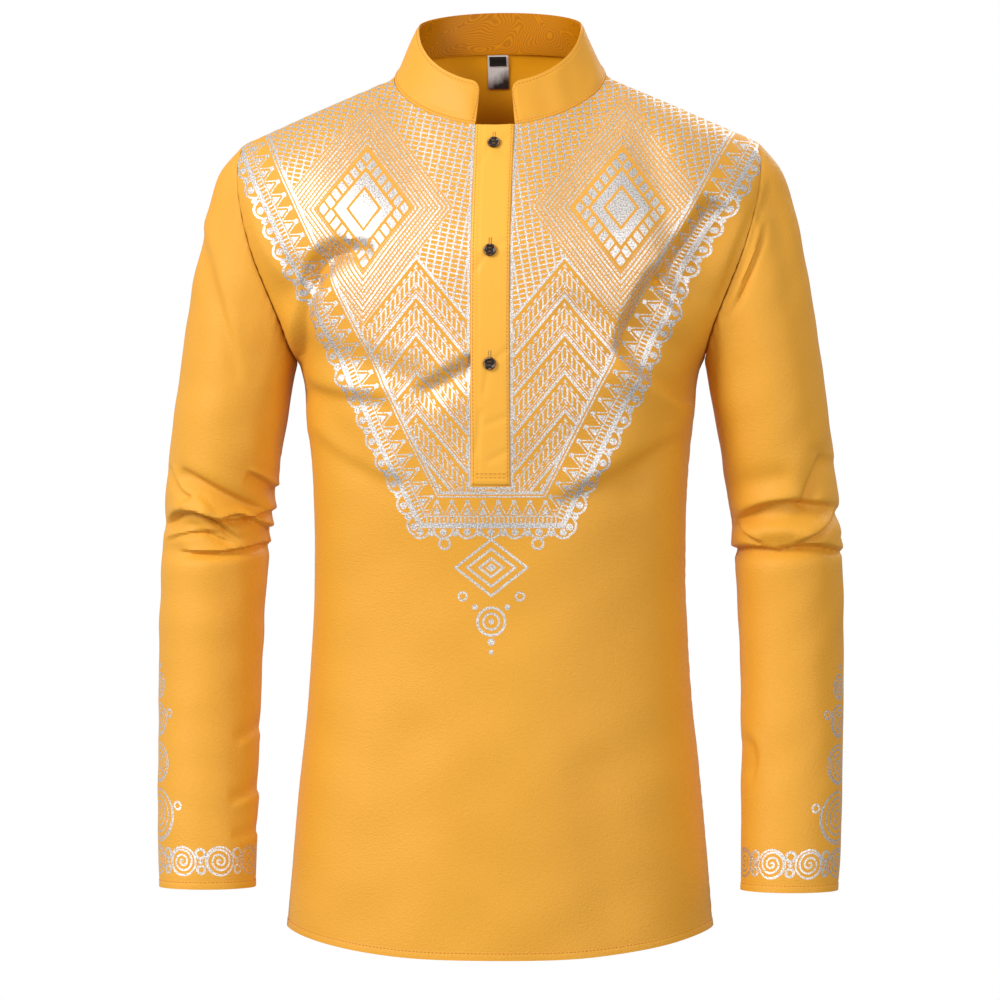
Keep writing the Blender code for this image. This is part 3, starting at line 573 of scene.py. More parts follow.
def hem_relief(distance):
    """How far the cloth stands out near a turned and stitched hem."""
    turned = HEM_SWELL * (1.0 - ease((distance - HEM_STITCH) / 1.5))
    return turned - HEM_STITCH_DIP * hump(distance - HEM_STITCH, 1.1)


# %% Front and back panels
SLOT_HALF = 8.0
SLOT_END = 335.0
PANEL_WIDTH = 500.0
ARM_LENGTH = 280.0
SKIRT_LENGTH = 483.0
HEM_TURN = 7.0
FACES = {"front": -1.0, "back": 1.0}
SIDE_OUT = 4.0
TOP_OUT = 3.0
ALWAYS_UP = 0.05
EDGE_POWER = 20
NECK_EASE = 0.14
NECK_EASE_START = 12.0
NECK_PASSES = 30
FOLD_EDGE_POWER = 22
WAVE_HEIGHT = 0.45
WAVE_PITCH = 62.0


def outward_of(face, s, t):
    """Which way is out: sideways at the side seams, up at the shoulder seams."""
    sideways = SIDE_OUT * np.sign(s) * np.abs(s) ** EDGE_POWER
    upwards = ALWAYS_UP + TOP_OUT * (1.0 - np.clip(t, 0.0, 1.0)) ** EDGE_POWER
    return np.stack([sideways, FACES[face] + 0.0 * s, upwards], axis=-1)


def panel_columns():
    """Shares across a panel, closer together at the side seams."""
    across = crowded(PANEL_WIDTH, step=4.1, seams=[0.0, PANEL_WIDTH], fine=1.6)
    return across / (0.5 * PANEL_WIDTH) - 1.0


def panel_rows():
    """Rows of a panel, closer together at the shoulder and the hem."""
    arm = crowded(ARM_LENGTH, step=4.3, seams=[0.0], fine=1.7) / ARM_LENGTH
    hem = [SKIRT_LENGTH - HEM_TURN, SKIRT_LENGTH]
    below = crowded(SKIRT_LENGTH, step=4.3, seams=hem, fine=1.3, reach=HEM_TURN)
    skirt = 1.0 + below / SKIRT_LENGTH
    return np.concatenate([arm, skirt[1:]])


# %% Plain and folded panels
def rounded(points, weight):
    """Grid with its rows smoothed where the weight is more than nothing."""
    for _ in range(NECK_PASSES):
        between = 0.5 * (points[:, :-2] + points[:, 2:])
        inside = points[:, 1:-1]
        moved = inside + (between - inside) * weight[:, 1:-1]
        points = np.concatenate([points[:, :1], moved, points[:, -1:]], axis=1)
    return points


def plain_panel(face, s, t):
    """Panel grid without folds, eased round the neck points."""
    points = panel_point(face, s, t)
    weight = hump(np.abs(s) - NECK_SHARE, NECK_EASE) * ease(arc(points, 0) / NECK_EASE_START)
    return rounded(points, weight[..., None])


def folded_panel(face, s, t):
    """Panel grid with its folds, seams and hem."""
    points = plain_panel(face, s, t)
    normals = normals_of(points, outward_of(face, s, t))
    x, drop = points[..., 0], -points[..., 2]
    folds, creases, seed = PANEL_FOLDS[face]
    edge = 1.0 - np.abs(s) ** FOLD_EDGE_POWER
    top = ease(np.clip(t, 0.0, 1.0) * 5.0)
    waves = WAVE_HEIGHT * ripple(x, drop, WAVE_PITCH, seed)
    depth = fold_depth(x, drop, folds) + waves - crease_height(x, drop, creases)
    depth = depth * edge * top
    across, along = arc(points, 1), arc(points, 0)
    from_side = np.minimum(across, across[:, -1:] - across)
    beside = seam_relief(from_side, along, 1.0)
    shoulder = np.abs(s) > NECK_SHARE
    above = np.where(shoulder, seam_relief(along, across, 4.0), 0.0)
    from_hem = along[-1:] - along
    depth = depth + np.maximum(beside, above) - hem_relief(from_hem)
    return points - normals * depth[..., None]


# %% Sheets of the front and back
def panel_sheet(face):
    """Mesh of one panel, and its lengths across and down; seams turn in level with the seam."""
    s, t = np.meshgrid(panel_columns(), panel_rows())
    outer = folded_panel(face, s, t)
    plain = plain_panel(face, s, t)
    normals = normals_of(outer, outward_of(face, s, t))
    through = -normals
    rise = np.where(np.abs(s) >= 1.0, 0.05, 1.0)
    level = np.stack([np.ones_like(rise), np.zeros_like(rise), rise], axis=-1)
    sideways = unit(through * level + 1.0e-12)
    sewn = (np.abs(s) >= 1.0) | ((t == 0.0) & (np.abs(s) > NECK_SHARE))
    through = np.where(sewn[..., None], sideways, through)
    inner = outer + CLOTH * through
    for grid in (outer, inner):
        grid[..., 1] = FACES[face] * np.maximum(FACES[face] * grid[..., 1], 0.5 * SEAM_GAP)
    flat = np.stack([plain[..., 0], -plain[..., 2]], axis=-1) * MM
    keep = None
    if face == "front":
        middle_x = 0.5 * (plain[:-1, :-1, 0] + plain[1:, 1:, 0])
        keep = (np.abs(middle_x) > SLOT_HALF) | (-plain[1:, :-1, 2] > SLOT_END)
    lengths = arc(outer, 1)[:, -1].max(), arc(outer, 0)[-1].max()
    return sheet_mesh(face + "_cloth", outer, inner, flat, keep=keep), lengths


front_mesh, front_cut = panel_sheet("front")
back_mesh, back_cut = panel_sheet("back")
print("front mm", [round(v) for v in front_cut], "faces", len(front_mesh.polygons))
print("back mm", [round(v) for v in back_cut], "faces", len(back_mesh.polygons))

# %% [markdown]
# ## Sleeves
#
# Each sleeve is one tube from the armhole to an open cuff, slightly bent, with its folds at
# the crook of the elbow. A tube is the same kind of grid, closed round. Its place on the cut
# runs from the inner seam round the outside and back, so the cuff ornament can go all round.

# %% Sleeve sheets
AROUND = 156
SLEEVE_LENGTH = 600.0
ELBOW_ROWS = range(200, 301, 10)
FRONT_TO_BACK = 14.0
CREASE_TO_BACK = 11.0
SIDE_SHARE = 0.3
BACK_SHARE = 0.6
BACK_CREASE_SHARE = 0.8
UNDERARM_DIP = 0.8
SLEEVE_WAVE_HEIGHT = 0.4
SLEEVE_WAVE_PITCH = 48.0


def sleeve_rows():
    """Rows of a sleeve, closer together at its ends and at the elbow."""
    seams = [0.0, SLEEVE_LENGTH - HEM_TURN, SLEEVE_LENGTH] + list(ELBOW_ROWS)
    return crowded(SLEEVE_LENGTH, step=3.9, seams=seams, fine=1.6, reach=10.0) / SLEEVE_LENGTH


def sleeve_sheet(name, side):
    """One sleeve; its rings start at the inner side, where the seam is."""
    turns = np.pi + 2.0 * np.pi * np.arange(AROUND + 1) / AROUND
    turn, share = np.meshgrid(turns % (2.0 * np.pi), sleeve_rows())
    closed = sleeve_point(turn, share) * np.array([side, 1.0, 1.0])
    plain = closed[:, :-1]
    turn, share = turn[:, :-1], share[:, :-1]
    outward = plain - plain.mean(axis=1, keepdims=True)
    normals = normals_of(plain, outward, ring=True)
    folds, creases, seed = SLEEVE_FOLDS[name]
    middle = plain[..., 0].mean(axis=1, keepdims=True)
    facing = np.clip(-normals[..., 1], 0.0, 1.0)
    behind = np.clip(normals[..., 1], 0.0, 1.0)
    x, drop = plain[..., 0], -plain[..., 2]
    before = fold_depth(x, drop, folds) * (SIDE_SHARE + (1.0 - SIDE_SHARE) * facing)
    after = fold_depth(2.0 * middle - x, drop + FRONT_TO_BACK, folds) * BACK_SHARE * behind
    depth = np.where(normals[..., 1] <= 0.0, before, SIDE_SHARE * before + after)
    seen = ease((0.45 - normals[..., 1]) / 0.6)
    depth = depth - crease_height(x, drop, creases) * seen
    behind_creases = crease_height(2.0 * middle - x, drop + CREASE_TO_BACK, creases)
    depth = depth - BACK_CREASE_SHARE * behind_creases * (1.0 - seen)
    waves = ripple(x + plain[..., 1], drop, SLEEVE_WAVE_PITCH, seed)
    depth = depth + SLEEVE_WAVE_HEIGHT * waves
    depth = depth * ease(share * 22.0)
    down, around = arc(closed, 0), arc(closed, 1)
    top_along = np.broadcast_to(around[:1], around.shape)
    depth = depth + seam_relief(down, top_along, 1.0)[:, :-1]
    seam_at = np.minimum(around, around[:, -1:] - around)[:, :-1]
    depth = depth + UNDERARM_DIP * hump(seam_at, SEAM_ROLL) * ease(share * 20.0)
    from_hem = (down[-1:] - down)[:, :-1]
    outer = plain - normals * (depth - hem_relief(from_hem))[..., None]
    normals = normals_of(outer, outward, ring=True)
    inner = outer - CLOTH * normals
    flat = np.stack([around - 0.5 * around[:, -1:], down[-1:] - down], axis=-1) * MM
    lengths = around[:, -1].max(), down[-1].max()
    mesh = sheet_mesh("sleeve_%s_cloth" % name, outer, inner, flat, ring=True)
    return mesh, lengths, outer, normals


left_mesh, left_cut, left_outer, left_normals = sleeve_sheet("left", -1.0)
right_mesh, _, right_outer, right_normals = sleeve_sheet("right", 1.0)
print("sleeve mm", [round(v) for v in left_cut], "faces", len(left_mesh.polygons))

# %% [markdown]
# ## Stand collar
#
# The collar is a double band: an outer layer of the satin and a lining, with rounded front
# corners that stop short of each other. It is a grid between the neck seam and a smaller,
# higher curve, and its height is cut down in a quarter circle at each front end. The cloth
# rolls over at the top and puffs a little between its two rows of stitching.

# %% Collar grids
TOP_DEPTH = (45.5, 7.0)
TOP_FALL = (34.0, 20.0)
COLLAR_TOP_HALF = 71.0
COLLAR_SIDE_TOP = 43.0
COLLAR_CORNER = 9.0
COLLAR_LEAN_POWER = 0.85
COLLAR_END_TURN = 0.054 / NECK_SHARE * 0.5 * np.pi
COLLAR_BAND = 1.6
COLLAR_STITCH = 3.0
COLLAR_RISE = 60.0
COLLAR_PUFF = 0.9
COLLAR_ROLL = 4.0
COLLAR_STITCH_DIP = 0.45
COLLAR_PIPING = 1.3
COLLAR_WAVE_HEIGHT = 0.5
COLLAR_WAVE_PITCH = 40.0
COLLAR_SEED = 31
COLLAR_MIDDLE = (0.0, -8.0, 0.0)
LINING_GAP = 0.3
LINING_CLOTH = 0.9
LINING_SHRINK = 0.8


def collar_layer(inset, outer_puff, thickness, shrink=0.0):
    """Collar layer: inset from the collar's face, its puff, thickness, and how much smaller."""
    half_length = NECK_HALF * (np.pi - COLLAR_END_TURN)
    along = crowded(half_length, step=3.0, seams=[0.0], fine=0.7, reach=7.0)
    turns = COLLAR_END_TURN + along / NECK_HALF
    edges = [0.0, COLLAR_RISE]
    heights = crowded(COLLAR_RISE, step=3.0, seams=edges, fine=0.8, reach=6.0) / COLLAR_RISE
    seam = np.stack(neck_ring(turns), axis=-1) * np.array([1.0, 1.0, -1.0])
    c = np.cos(turns)
    top_x = COLLAR_TOP_HALF * np.sin(turns)
    top_y = -TOP_DEPTH[0] * c - TOP_DEPTH[1] * c * c
    top_z = COLLAR_SIDE_TOP + 2.0 - TOP_FALL[0] * c - TOP_FALL[1] * np.hypot(c, 0.1)
    to_corner = np.clip(COLLAR_CORNER - along, 0.0, COLLAR_CORNER)
    cut = COLLAR_CORNER - np.sqrt(COLLAR_CORNER ** 2 - to_corner ** 2)
    full_height = top_z - seam[:, 2]
    top_share = (full_height - cut - shrink) / full_height
    h = heights[:, None] * top_share
    w = h ** COLLAR_LEAN_POWER
    x = seam[:, 0] + (top_x - seam[:, 0]) * w
    y = seam[:, 1] + (top_y - seam[:, 1]) * w
    z = seam[:, 2] + full_height * h + SEAM_OFFSET
    half = np.stack([x, y, z], axis=-1)
    points = np.concatenate([half[:, :-1], half[:, ::-1] * np.array([-1.0, 1.0, 1.0])], axis=1)
    outward = (points - np.array(COLLAR_MIDDLE)) * np.array([1.0, 1.0, 0.0])
    normals = normals_of(points, outward)
    from_end = np.concatenate([along[:-1], along[::-1]])[None, :]
    height = arc(points, 0)
    from_edge = np.minimum(np.minimum(height, height[-1:] - height), from_end)
    puff = outer_puff * (ease(from_edge / COLLAR_ROLL) - 1.0)
    stitched = COLLAR_STITCH_DIP * hump(from_edge - COLLAR_STITCH, 0.8)
    piping = outer_puff * hump(height - COLLAR_PIPING, COLLAR_PIPING)
    round_neck = points[..., 0] + points[..., 1]
    waves = COLLAR_WAVE_HEIGHT * ripple(round_neck, points[..., 2], COLLAR_WAVE_PITCH, COLLAR_SEED)
    relief = (puff - stitched + piping + waves * ease(from_edge / 9.0))[..., None]
    outer = points + normals * (relief - inset)
    inner = points - normals * (inset + thickness)
    around = arc(points, 1)
    flat = np.stack([around - 0.5 * around[:, -1:], height], axis=-1) * MM
    return outer, inner, flat, normals


collar_outer, collar_inner, collar_flat, collar_normals = collar_layer(0.0, COLLAR_PUFF, COLLAR_BAND)
collar_mesh = sheet_mesh("collar_cloth", collar_outer, collar_inner, collar_flat)
lining_grids = collar_layer(COLLAR_BAND + LINING_GAP, 0.0, LINING_CLOTH, LINING_SHRINK)
lining_mesh = sheet_mesh("collar_lining", *lining_grids[:3])
collar_length = arc(collar_outer, 1)[:, -1].max()
print("collar mm", round(collar_length), "faces", len(collar_mesh.polygons))

# %% [markdown]
# ## Placket
#
# The neck opening is covered by a folded strip of the satin, top-stitched along both edges and
# boxed in at its foot, with a plain strip behind it. The strip is laid on the front's own
# formula, so it follows the chest, and its edges roll down to the cloth.

# %% Strips along the front opening
PLACKET_HALF = 16.0
PLACKET_END = 350.0
UNDER_HALF = 13.0
LAY_GAP = 0.45
SOLID_CLOTH = 1.3
SOLID_BAND = 1.6
PLACKET_STITCH = 2.0
BOX_ROWS = (6.5, 10.0)
INNER_FOLD = 9.8


def share_at(face, x, t):
    """The share across a panel at which its x is the one asked for, on rows t."""
    s = x / 150.0
    step = 1.0e-3
    for _ in range(10):
        here = panel_point(face, s, t)[..., 0]
        slope = (panel_point(face, s + step, t)[..., 0] - here) / step
        s = s + (x - here) / slope
    return s


def strip_rows(face, start, end, step, seams, fine):
    """Panel rows whose drops on the middle line run from start to end."""
    t = np.linspace(0.0, 1.6, 3000)
    drops = -panel_point(face, np.full(t.shape, 0.02), t)[..., 2]
    wanted = start + crowded(end - start, step, seams, fine, reach=5.0)
    return np.interp(wanted, drops, t)


def front_strip(half, start, end, lift, thickness, relief):
    """Strip on the front between two drops; relief gives its height from its own places."""
    t_rows = strip_rows("front", start, end, step=2.6, seams=[0.0, end - start], fine=0.8)
    edges = [0.0, 2.0 * half]
    columns = crowded(2.0 * half, step=1.6, seams=edges, fine=0.55, reach=3.0) - half
    x, t = np.meshgrid(columns, t_rows)
    points = panel_point("front", share_at("front", x, t), t)
    normals = normals_of(points, outward_of("front", 0.0 * x, t))
    to_end = end + points[..., 2]
    rise = relief(x, to_end)
    outer = points + normals * (lift + thickness + rise)[..., None]
    inner = points + normals * lift
    flat = np.stack([x, -points[..., 2]], axis=-1) * MM
    return outer, inner, flat, normals


# %% Relief of the placket
# pulls round the buttons: start x and drop, end x and drop, half width, depth, lean
PLACKET_FOLDS = (
    (3.0, 62.0, 14.0, 55.0, 1.8, 1.1, 0.0),
    (4.0, 68.0, 14.0, 74.0, 1.9, 0.9, 0.0),
    (-5.0, 70.0, -12.0, 84.0, 2.0, 0.7, 0.0),
    (4.0, 153.0, 14.0, 147.0, 1.9, 0.9, 0.0),
    (-5.0, 160.0, -13.0, 172.0, 2.0, 0.8, 0.0),
    (4.0, 246.0, 14.0, 238.0, 1.8, 1.0, 0.0),
    (-2.0, 257.0, -5.0, 274.0, 2.0, 0.8, 0.0),
    (-8.0, 290.0, -12.0, 322.0, 2.2, 1.0, 0.0),
    (-4.0, 300.0, 12.0, 294.0, 2.2, 0.7, 0.0),
    (-1.0, 330.0, 13.0, 322.0, 2.2, 0.8, 0.0),
)


def placket_relief(x, to_end):
    """Height of the folded strip over its base: rolled edges, stitch valleys, inner fold."""
    from_edge = np.minimum(PLACKET_HALF - np.abs(x), to_end)
    rolled = -1.0 * hump(from_edge, 0.9)
    stitched = -0.4 * hump(from_edge - PLACKET_STITCH, 0.7)
    fold = -0.5 * hump(x + INNER_FOLD, 0.7) + 0.18 * ease((x + INNER_FOLD) / 1.2 + 0.5)
    box = -0.5 * hump(to_end - BOX_ROWS[0], 0.7) - 0.5 * hump(to_end - BOX_ROWS[1], 0.7)
    pulled = fold_depth(x, PLACKET_END - to_end, PLACKET_FOLDS)
    return rolled + stitched + fold * ease((to_end - 6.0) / 2.0) + box - pulled


def under_relief(x, _):
    """The under strip has no relief of its own."""
    return 0.0 * x


TOP_DROP = 46.8
STRIP_CLOTH = SOLID_BAND - 0.1
placket_grids = front_strip(PLACKET_HALF, TOP_DROP, PLACKET_END, LAY_GAP, STRIP_CLOTH, placket_relief)
placket_mesh = sheet_mesh("placket_cloth", *placket_grids[:3])
under_lift = -(SOLID_CLOTH + LAY_GAP + SOLID_CLOTH)
under_grids = front_strip(UNDER_HALF, TOP_DROP + 4.0, PLACKET_END - 6.0, under_lift, 1.0, under_relief)
under_mesh = sheet_mesh("placket_under_cloth", *under_grids[:3])
print("placket faces", len(placket_mesh.polygons), "under", len(under_mesh.polygons))

# %% [markdown]
# ## Buttons
#
# The buttons are turned from polyester: a dished face, a raised rim in brown and gold, and
# four holes with crossed thread. A lathe profile gives the body. The holes are cut with a
# Boolean, as a drill would, and the thread is a pair of short bent tubes.

# %% Where things sit on the front
BUTTON_DROPS = (63.0, 155.0, 249.0)
HOLE_RADIUS = 0.72
HOLE_PITCH = 1.55
BUTTON_GAP = 0.25
BUTTON_STEPS = 48
BUTTON_ANGLE = math.radians(38.0)
STRAND_OFFSET = 0.24
STRAND_RADIUS = 0.23


def front_place(x, drop, lift):
    """Matrix of a place on the front: its z leaves the cloth, its y points up the shirt."""
    rows = strip_rows("front", drop - 1.0, drop + 1.0, step=1.0, seams=[50.0], fine=1.0)
    t = np.array([rows[0], rows[len(rows) // 2], rows[-1]])
    xs = np.array([x - 1.0, x, x + 1.0])
    gx, gt = np.meshgrid(xs, t)
    grid = panel_point("front", share_at("front", gx, gt), gt)
    up = Vector(grid[0, 1] - grid[2, 1]).normalized()
    right = Vector(grid[1, 2] - grid[1, 0]).normalized()
    out = right.cross(up).normalized()
    up = out.cross(right).normalized()
    at = (Vector(grid[1, 1]) + out * lift) * MM
    turn = Matrix((right, up, out)).transposed().to_4x4()
    return Matrix.Translation(at) @ turn


# %% Button body with its holes
BUTTON_PROFILE = (
    (0.0, 0.05),
    (3.9, 0.05),
    (4.8, 0.35),
    (5.3, 0.8),
    (5.45, 1.35),
    (5.2, 1.95),
    (4.75, 2.3),
    (4.25, 2.3),
    (3.85, 2.0),
    (3.55, 1.65),
    (2.6, 1.45),
    (0.0, 1.4),
)


def turned_mesh(name, profile, steps):
    """Solid turned from a profile of radius and height."""
    shape = bmesh.new()
    ring = [shape.verts.new((r * MM, 0.0, h * MM)) for r, h in profile]
    edges = [shape.edges.new(pair) for pair in zip(ring, ring[1:])]
    bmesh.ops.spin(shape, geom=ring + edges, cent=(0.0, 0.0, 0.0), axis=(0.0, 0.0, 1.0),
                   angle=2.0 * math.pi, steps=steps, use_merge=True)
    bmesh.ops.remove_doubles(shape, verts=shape.verts, dist=1.0e-6)
    bmesh.ops.recalc_face_normals(shape, faces=shape.faces)
    mesh = bpy.data.meshes.new(name)
    shape.to_mesh(mesh)
    shape.free()
    return mesh


# %% Round holes
def drill(piece, radius, places):
    """Cut round holes through a piece with applied Booleans."""
    shape = bmesh.new()
    for x, y in places:
        made = bmesh.ops.create_cone(shape, cap_ends=True, segments=20, radius1=radius * MM,
                                     radius2=radius * MM, depth=8.0 * MM)
        bmesh.ops.translate(shape, verts=made["verts"], vec=(x * MM, y * MM, 0.0))
    mesh = bpy.data.meshes.new("drill")
    shape.to_mesh(mesh)
    shape.free()
    tool = bpy.data.objects.new("drill", mesh)
    bpy.context.scene.collection.objects.link(tool)
    cut = piece.modifiers.new("holes", "BOOLEAN")
    cut.object = tool
    cut.operation = "DIFFERENCE"
    cut.solver = "EXACT"
    bpy.context.view_layer.update()
    depsgraph = bpy.context.evaluated_depsgraph_get()
    solid = bpy.data.meshes.new_from_object(piece.evaluated_get(depsgraph))
    piece.modifiers.clear()
    piece.data = solid
    bpy.data.objects.remove(tool, do_unlink=True)


# %% Tubes for thread
def tube_faces(path, radius, sides, verts, faces):
    """Add a closed round tube along a path of points to lists of corners and faces."""
    path = np.asarray(path)
    heading = unit(np.gradient(path, axis=0))
    side = unit(np.cross(heading, np.array([0.31, 0.17, 0.93])))
    over = np.cross(heading, side)
    turns = 2.0 * np.pi * np.arange(sides) / sides
    first = len(verts)
    shrink = np.ones(len(path))
    shrink[[0, -1]] = 0.35
    for k in range(len(path)):
        ring = path[k] + radius * shrink[k] * (np.cos(turns)[:, None] * side[k]
                                               + np.sin(turns)[:, None] * over[k])
        verts.extend(ring.tolist())
    for k in range(len(path) - 1):
        for j in range(sides):
            a, b = first + k * sides + j, first + k * sides + (j + 1) % sides
            faces.append((a, b, b + sides, a + sides))
    faces.append(tuple(first + j for j in reversed(range(sides))))
    last = first + (len(path) - 1) * sides
    faces.append(tuple(last + j for j in range(sides)))


def thread_mesh(name, paths, radius, sides=5):
    """One mesh that holds a tube for each path, in millimetres."""
    verts, faces = [], []
    for path in paths:
        tube_faces(path, radius, sides, verts, faces)
    mesh = bpy.data.meshes.new(name)
    mesh.from_pydata((np.array(verts) * MM).tolist(), [], faces)
    shape = bmesh.new()
    shape.from_mesh(mesh)
    bmesh.ops.recalc_face_normals(shape, faces=shape.faces)
    shape.to_mesh(mesh)
    shape.free()
    mesh.shade_smooth()
    return mesh


# %% Stitches along a line
STITCH = 2.6
STITCH_GAP = 0.7
STITCH_SINK = 0.12
THREAD_RADIUS = 0.32


def stitches_along(points, normals):
    """Paths of stitches along a line of surface points, each end dipping into the cloth."""
    at = np.concatenate([[0.0], np.cumsum(np.linalg.norm(np.diff(points, axis=0), axis=1))])
    paths = []
    count = int(at[-1] / (STITCH + STITCH_GAP))
    pitch = at[-1] / count
    for number in range(count):
        start = number * pitch + 0.5 * STITCH_GAP
        places = np.linspace(start, start + pitch - STITCH_GAP, 4)
        line = np.stack([np.interp(places, at, points[:, k]) for k in range(3)], axis=1)
        out = unit(np.stack([np.interp(places, at, normals[:, k]) for k in range(3)], axis=1))
        height = STITCH_SINK * np.array([-1.0, 1.0, 1.0, -1.0])
        paths.append(line + out * height[:, None])
    return paths


def grid_line(grid, normals, distance, from_end=False, axis=0):
    """Line at a given distance in from the first or last row (or column) of a grid."""
    if axis == 1:
        grid, normals = np.swapaxes(grid, 0, 1), np.swapaxes(normals, 0, 1)
    if from_end:
        grid, normals = grid[::-1], normals[::-1]
    down = arc(grid, 0)
    points = np.empty_like(grid[0])
    outs = np.empty_like(grid[0])
    for k in range(3):
        for j in range(grid.shape[1]):
            points[j, k] = np.interp(distance, down[:, j], grid[:, j, k])
            outs[j, k] = np.interp(distance, down[:, j], normals[:, j, k])
    return points, unit(outs)


# %% Buttons and their thread
def button_paths():
    """Thread through the holes: two bars, each of two strands, sunk at their ends."""
    paths = []
    for y in (-HOLE_PITCH, HOLE_PITCH):
        for offset in (-STRAND_OFFSET, STRAND_OFFSET):
            xs = np.array([-HOLE_PITCH, -0.8 * HOLE_PITCH, 0.0, 0.8 * HOLE_PITCH, HOLE_PITCH])
            zs = np.array([0.7, 1.62, 1.85, 1.62, 0.7])
            paths.append(np.stack([xs, np.full(5, y + offset), zs], axis=1))
    return paths


holes = [(x, y) for x in (-HOLE_PITCH, HOLE_PITCH) for y in (-HOLE_PITCH, HOLE_PITCH)]
button_lift = LAY_GAP + SOLID_BAND + BUTTON_GAP
buttons, button_threads = [], []
for number, drop in enumerate(BUTTON_DROPS, start=1):
    place = front_place(0.0, drop, button_lift)
    lathed = turned_mesh("button", BUTTON_PROFILE, BUTTON_STEPS)
    body = add_piece("button_%d_face" % number, lathed, [])
    drill(body, HOLE_RADIUS, holes)
    body.data.transform(place)
    body.data.shade_smooth()
    body.data.set_sharp_from_angle(angle=BUTTON_ANGLE)
    strands = thread_mesh("thread", button_paths(), STRAND_RADIUS)
    sewn = add_piece("button_%d_thread" % number, strands, [])
    sewn.data.transform(place)
    buttons.append(body)
    button_threads.append(sewn)
print("buttons:", len(buttons), "faces each", len(buttons[0].data.polygons))

# %% [markdown]
# ## Stitching
#
# Top-stitching is what tells sewn cloth from a moulded shell. Each stitch is a small bent tube
# whose ends dive into the cloth. The lines follow the sheets' own grids: round the collar,
# down the placket and across its box, and along the hem and the cuffs.

# %% Lines of stitches
def reach_line(grid, normals, inset):
    """Line that runs up one end, along the top and down the other end of the collar."""
    top, top_out = grid_line(grid, normals, inset, from_end=True)
    first, first_out = grid_line(grid, normals, inset, axis=1)
    last, last_out = grid_line(grid, normals, inset, from_end=True, axis=1)
    along = arc(grid, 1)
    top_at = along[-1]
    inner = (top_at > inset + 6.0) & (top_at < top_at[-1] - inset - 6.0)
    keep = slice(2, -4)
    line = np.concatenate([first[keep], top[inner], last[keep][::-1]])
    outs = np.concatenate([first_out[keep], top_out[inner], last_out[keep][::-1]])
    return line, outs


collar_line, collar_out = reach_line(collar_outer, collar_normals, COLLAR_STITCH)
base_line, base_out = grid_line(collar_outer, collar_normals, COLLAR_STITCH)
collar_paths = stitches_along(collar_line, collar_out) + stitches_along(base_line, base_out)

placket_outer, _, _, placket_normals = placket_grids
placket_paths = []
for end in (False, True):
    placket_paths += stitches_along(*grid_line(placket_outer, placket_normals, PLACKET_STITCH, end, axis=1))
for height in BOX_ROWS:
    line, outs = grid_line(placket_outer, placket_normals, height, True)
    inside = np.abs(line[:, 0]) < PLACKET_HALF - 2.2
    placket_paths += stitches_along(line[inside], outs[inside])

cuff_paths = []
for outer, normals in ((left_outer, left_normals), (right_outer, right_normals)):
    line, outs = grid_line(outer, normals, HEM_STITCH, True)
    cuff_paths.append(stitches_along(np.concatenate([line, line[:1]]), np.concatenate([outs, outs[:1]])))

hem_paths = {}
for face in ("front", "back"):
    s, t = np.meshgrid(panel_columns(), panel_rows())
    outer = folded_panel(face, s, t)
    normals = normals_of(outer, outward_of(face, s, t))
    line, outs = grid_line(outer[-40:], normals[-40:], HEM_STITCH, True)
    hem_paths[face] = stitches_along(line, outs)

stitch_sets = (
    ("collar_stitching", "collar_band", collar_paths),
    ("placket_stitching", "placket", placket_paths),
    ("front_hem_stitching", "front_panel", hem_paths["front"]),
    ("back_hem_stitching", "back_panel", hem_paths["back"]),
    ("sleeve_left_stitching", "sleeve_left", cuff_paths[0]),
    ("sleeve_right_stitching", "sleeve_right", cuff_paths[1]),
)
stitching = [add_piece(name, thread_mesh(name, paths, THREAD_RADIUS), []) for name, _, paths in stitch_sets]
print("stitches:", sum(len(paths) for _, _, paths in stitch_sets))

# %% Buttonholes
BUTTONHOLE_STITCHES = 15
BUTTONHOLE_HALF = 7.0
BUTTONHOLE_RADIUS = 0.34
ABOVE_BUTTON = 3.5


def buttonhole_paths():
    """Close satin stitches round a slit, in the strip's own plane."""
    paths = []
    for number in range(BUTTONHOLE_STITCHES):
        y = -BUTTONHOLE_HALF + number
        for side in (-1.0, 1.0):
            xs = side * np.array([0.25, 0.7, 1.25, 1.6])
            zs = np.array([-0.1, 0.12, 0.12, -0.15])
            paths.append(np.stack([xs, np.full(4, y), zs], axis=1))
    return paths


buttonholes = []
for number, drop in enumerate(BUTTON_DROPS, start=1):
    place = front_place(0.0, drop - ABOVE_BUTTON, LAY_GAP + SOLID_BAND - 0.1)
    satin_stitch = thread_mesh("hole", buttonhole_paths(), BUTTONHOLE_RADIUS)
    hole = add_piece("buttonhole_%d" % number, satin_stitch, [])
    hole.data.transform(place)
    buttonholes.append(hole)

# %% [markdown]
# ## Label
#
# A woven tape is sewn inside the back of the neck with a small black tab at its top. Both are
# left blank. They are thin strips on the back's own formula, turned to its inner side.

# %% Label and tab
LABEL_HALF = 9.0
TAB_HALF = 7.4
LABEL_CENTRE = -5.0
LABEL_TOP = -23.8
LABEL_LENGTH = 28.6
TAB_TOP = -23.0
TAB_LENGTH = 8.0
TAPE = 0.7


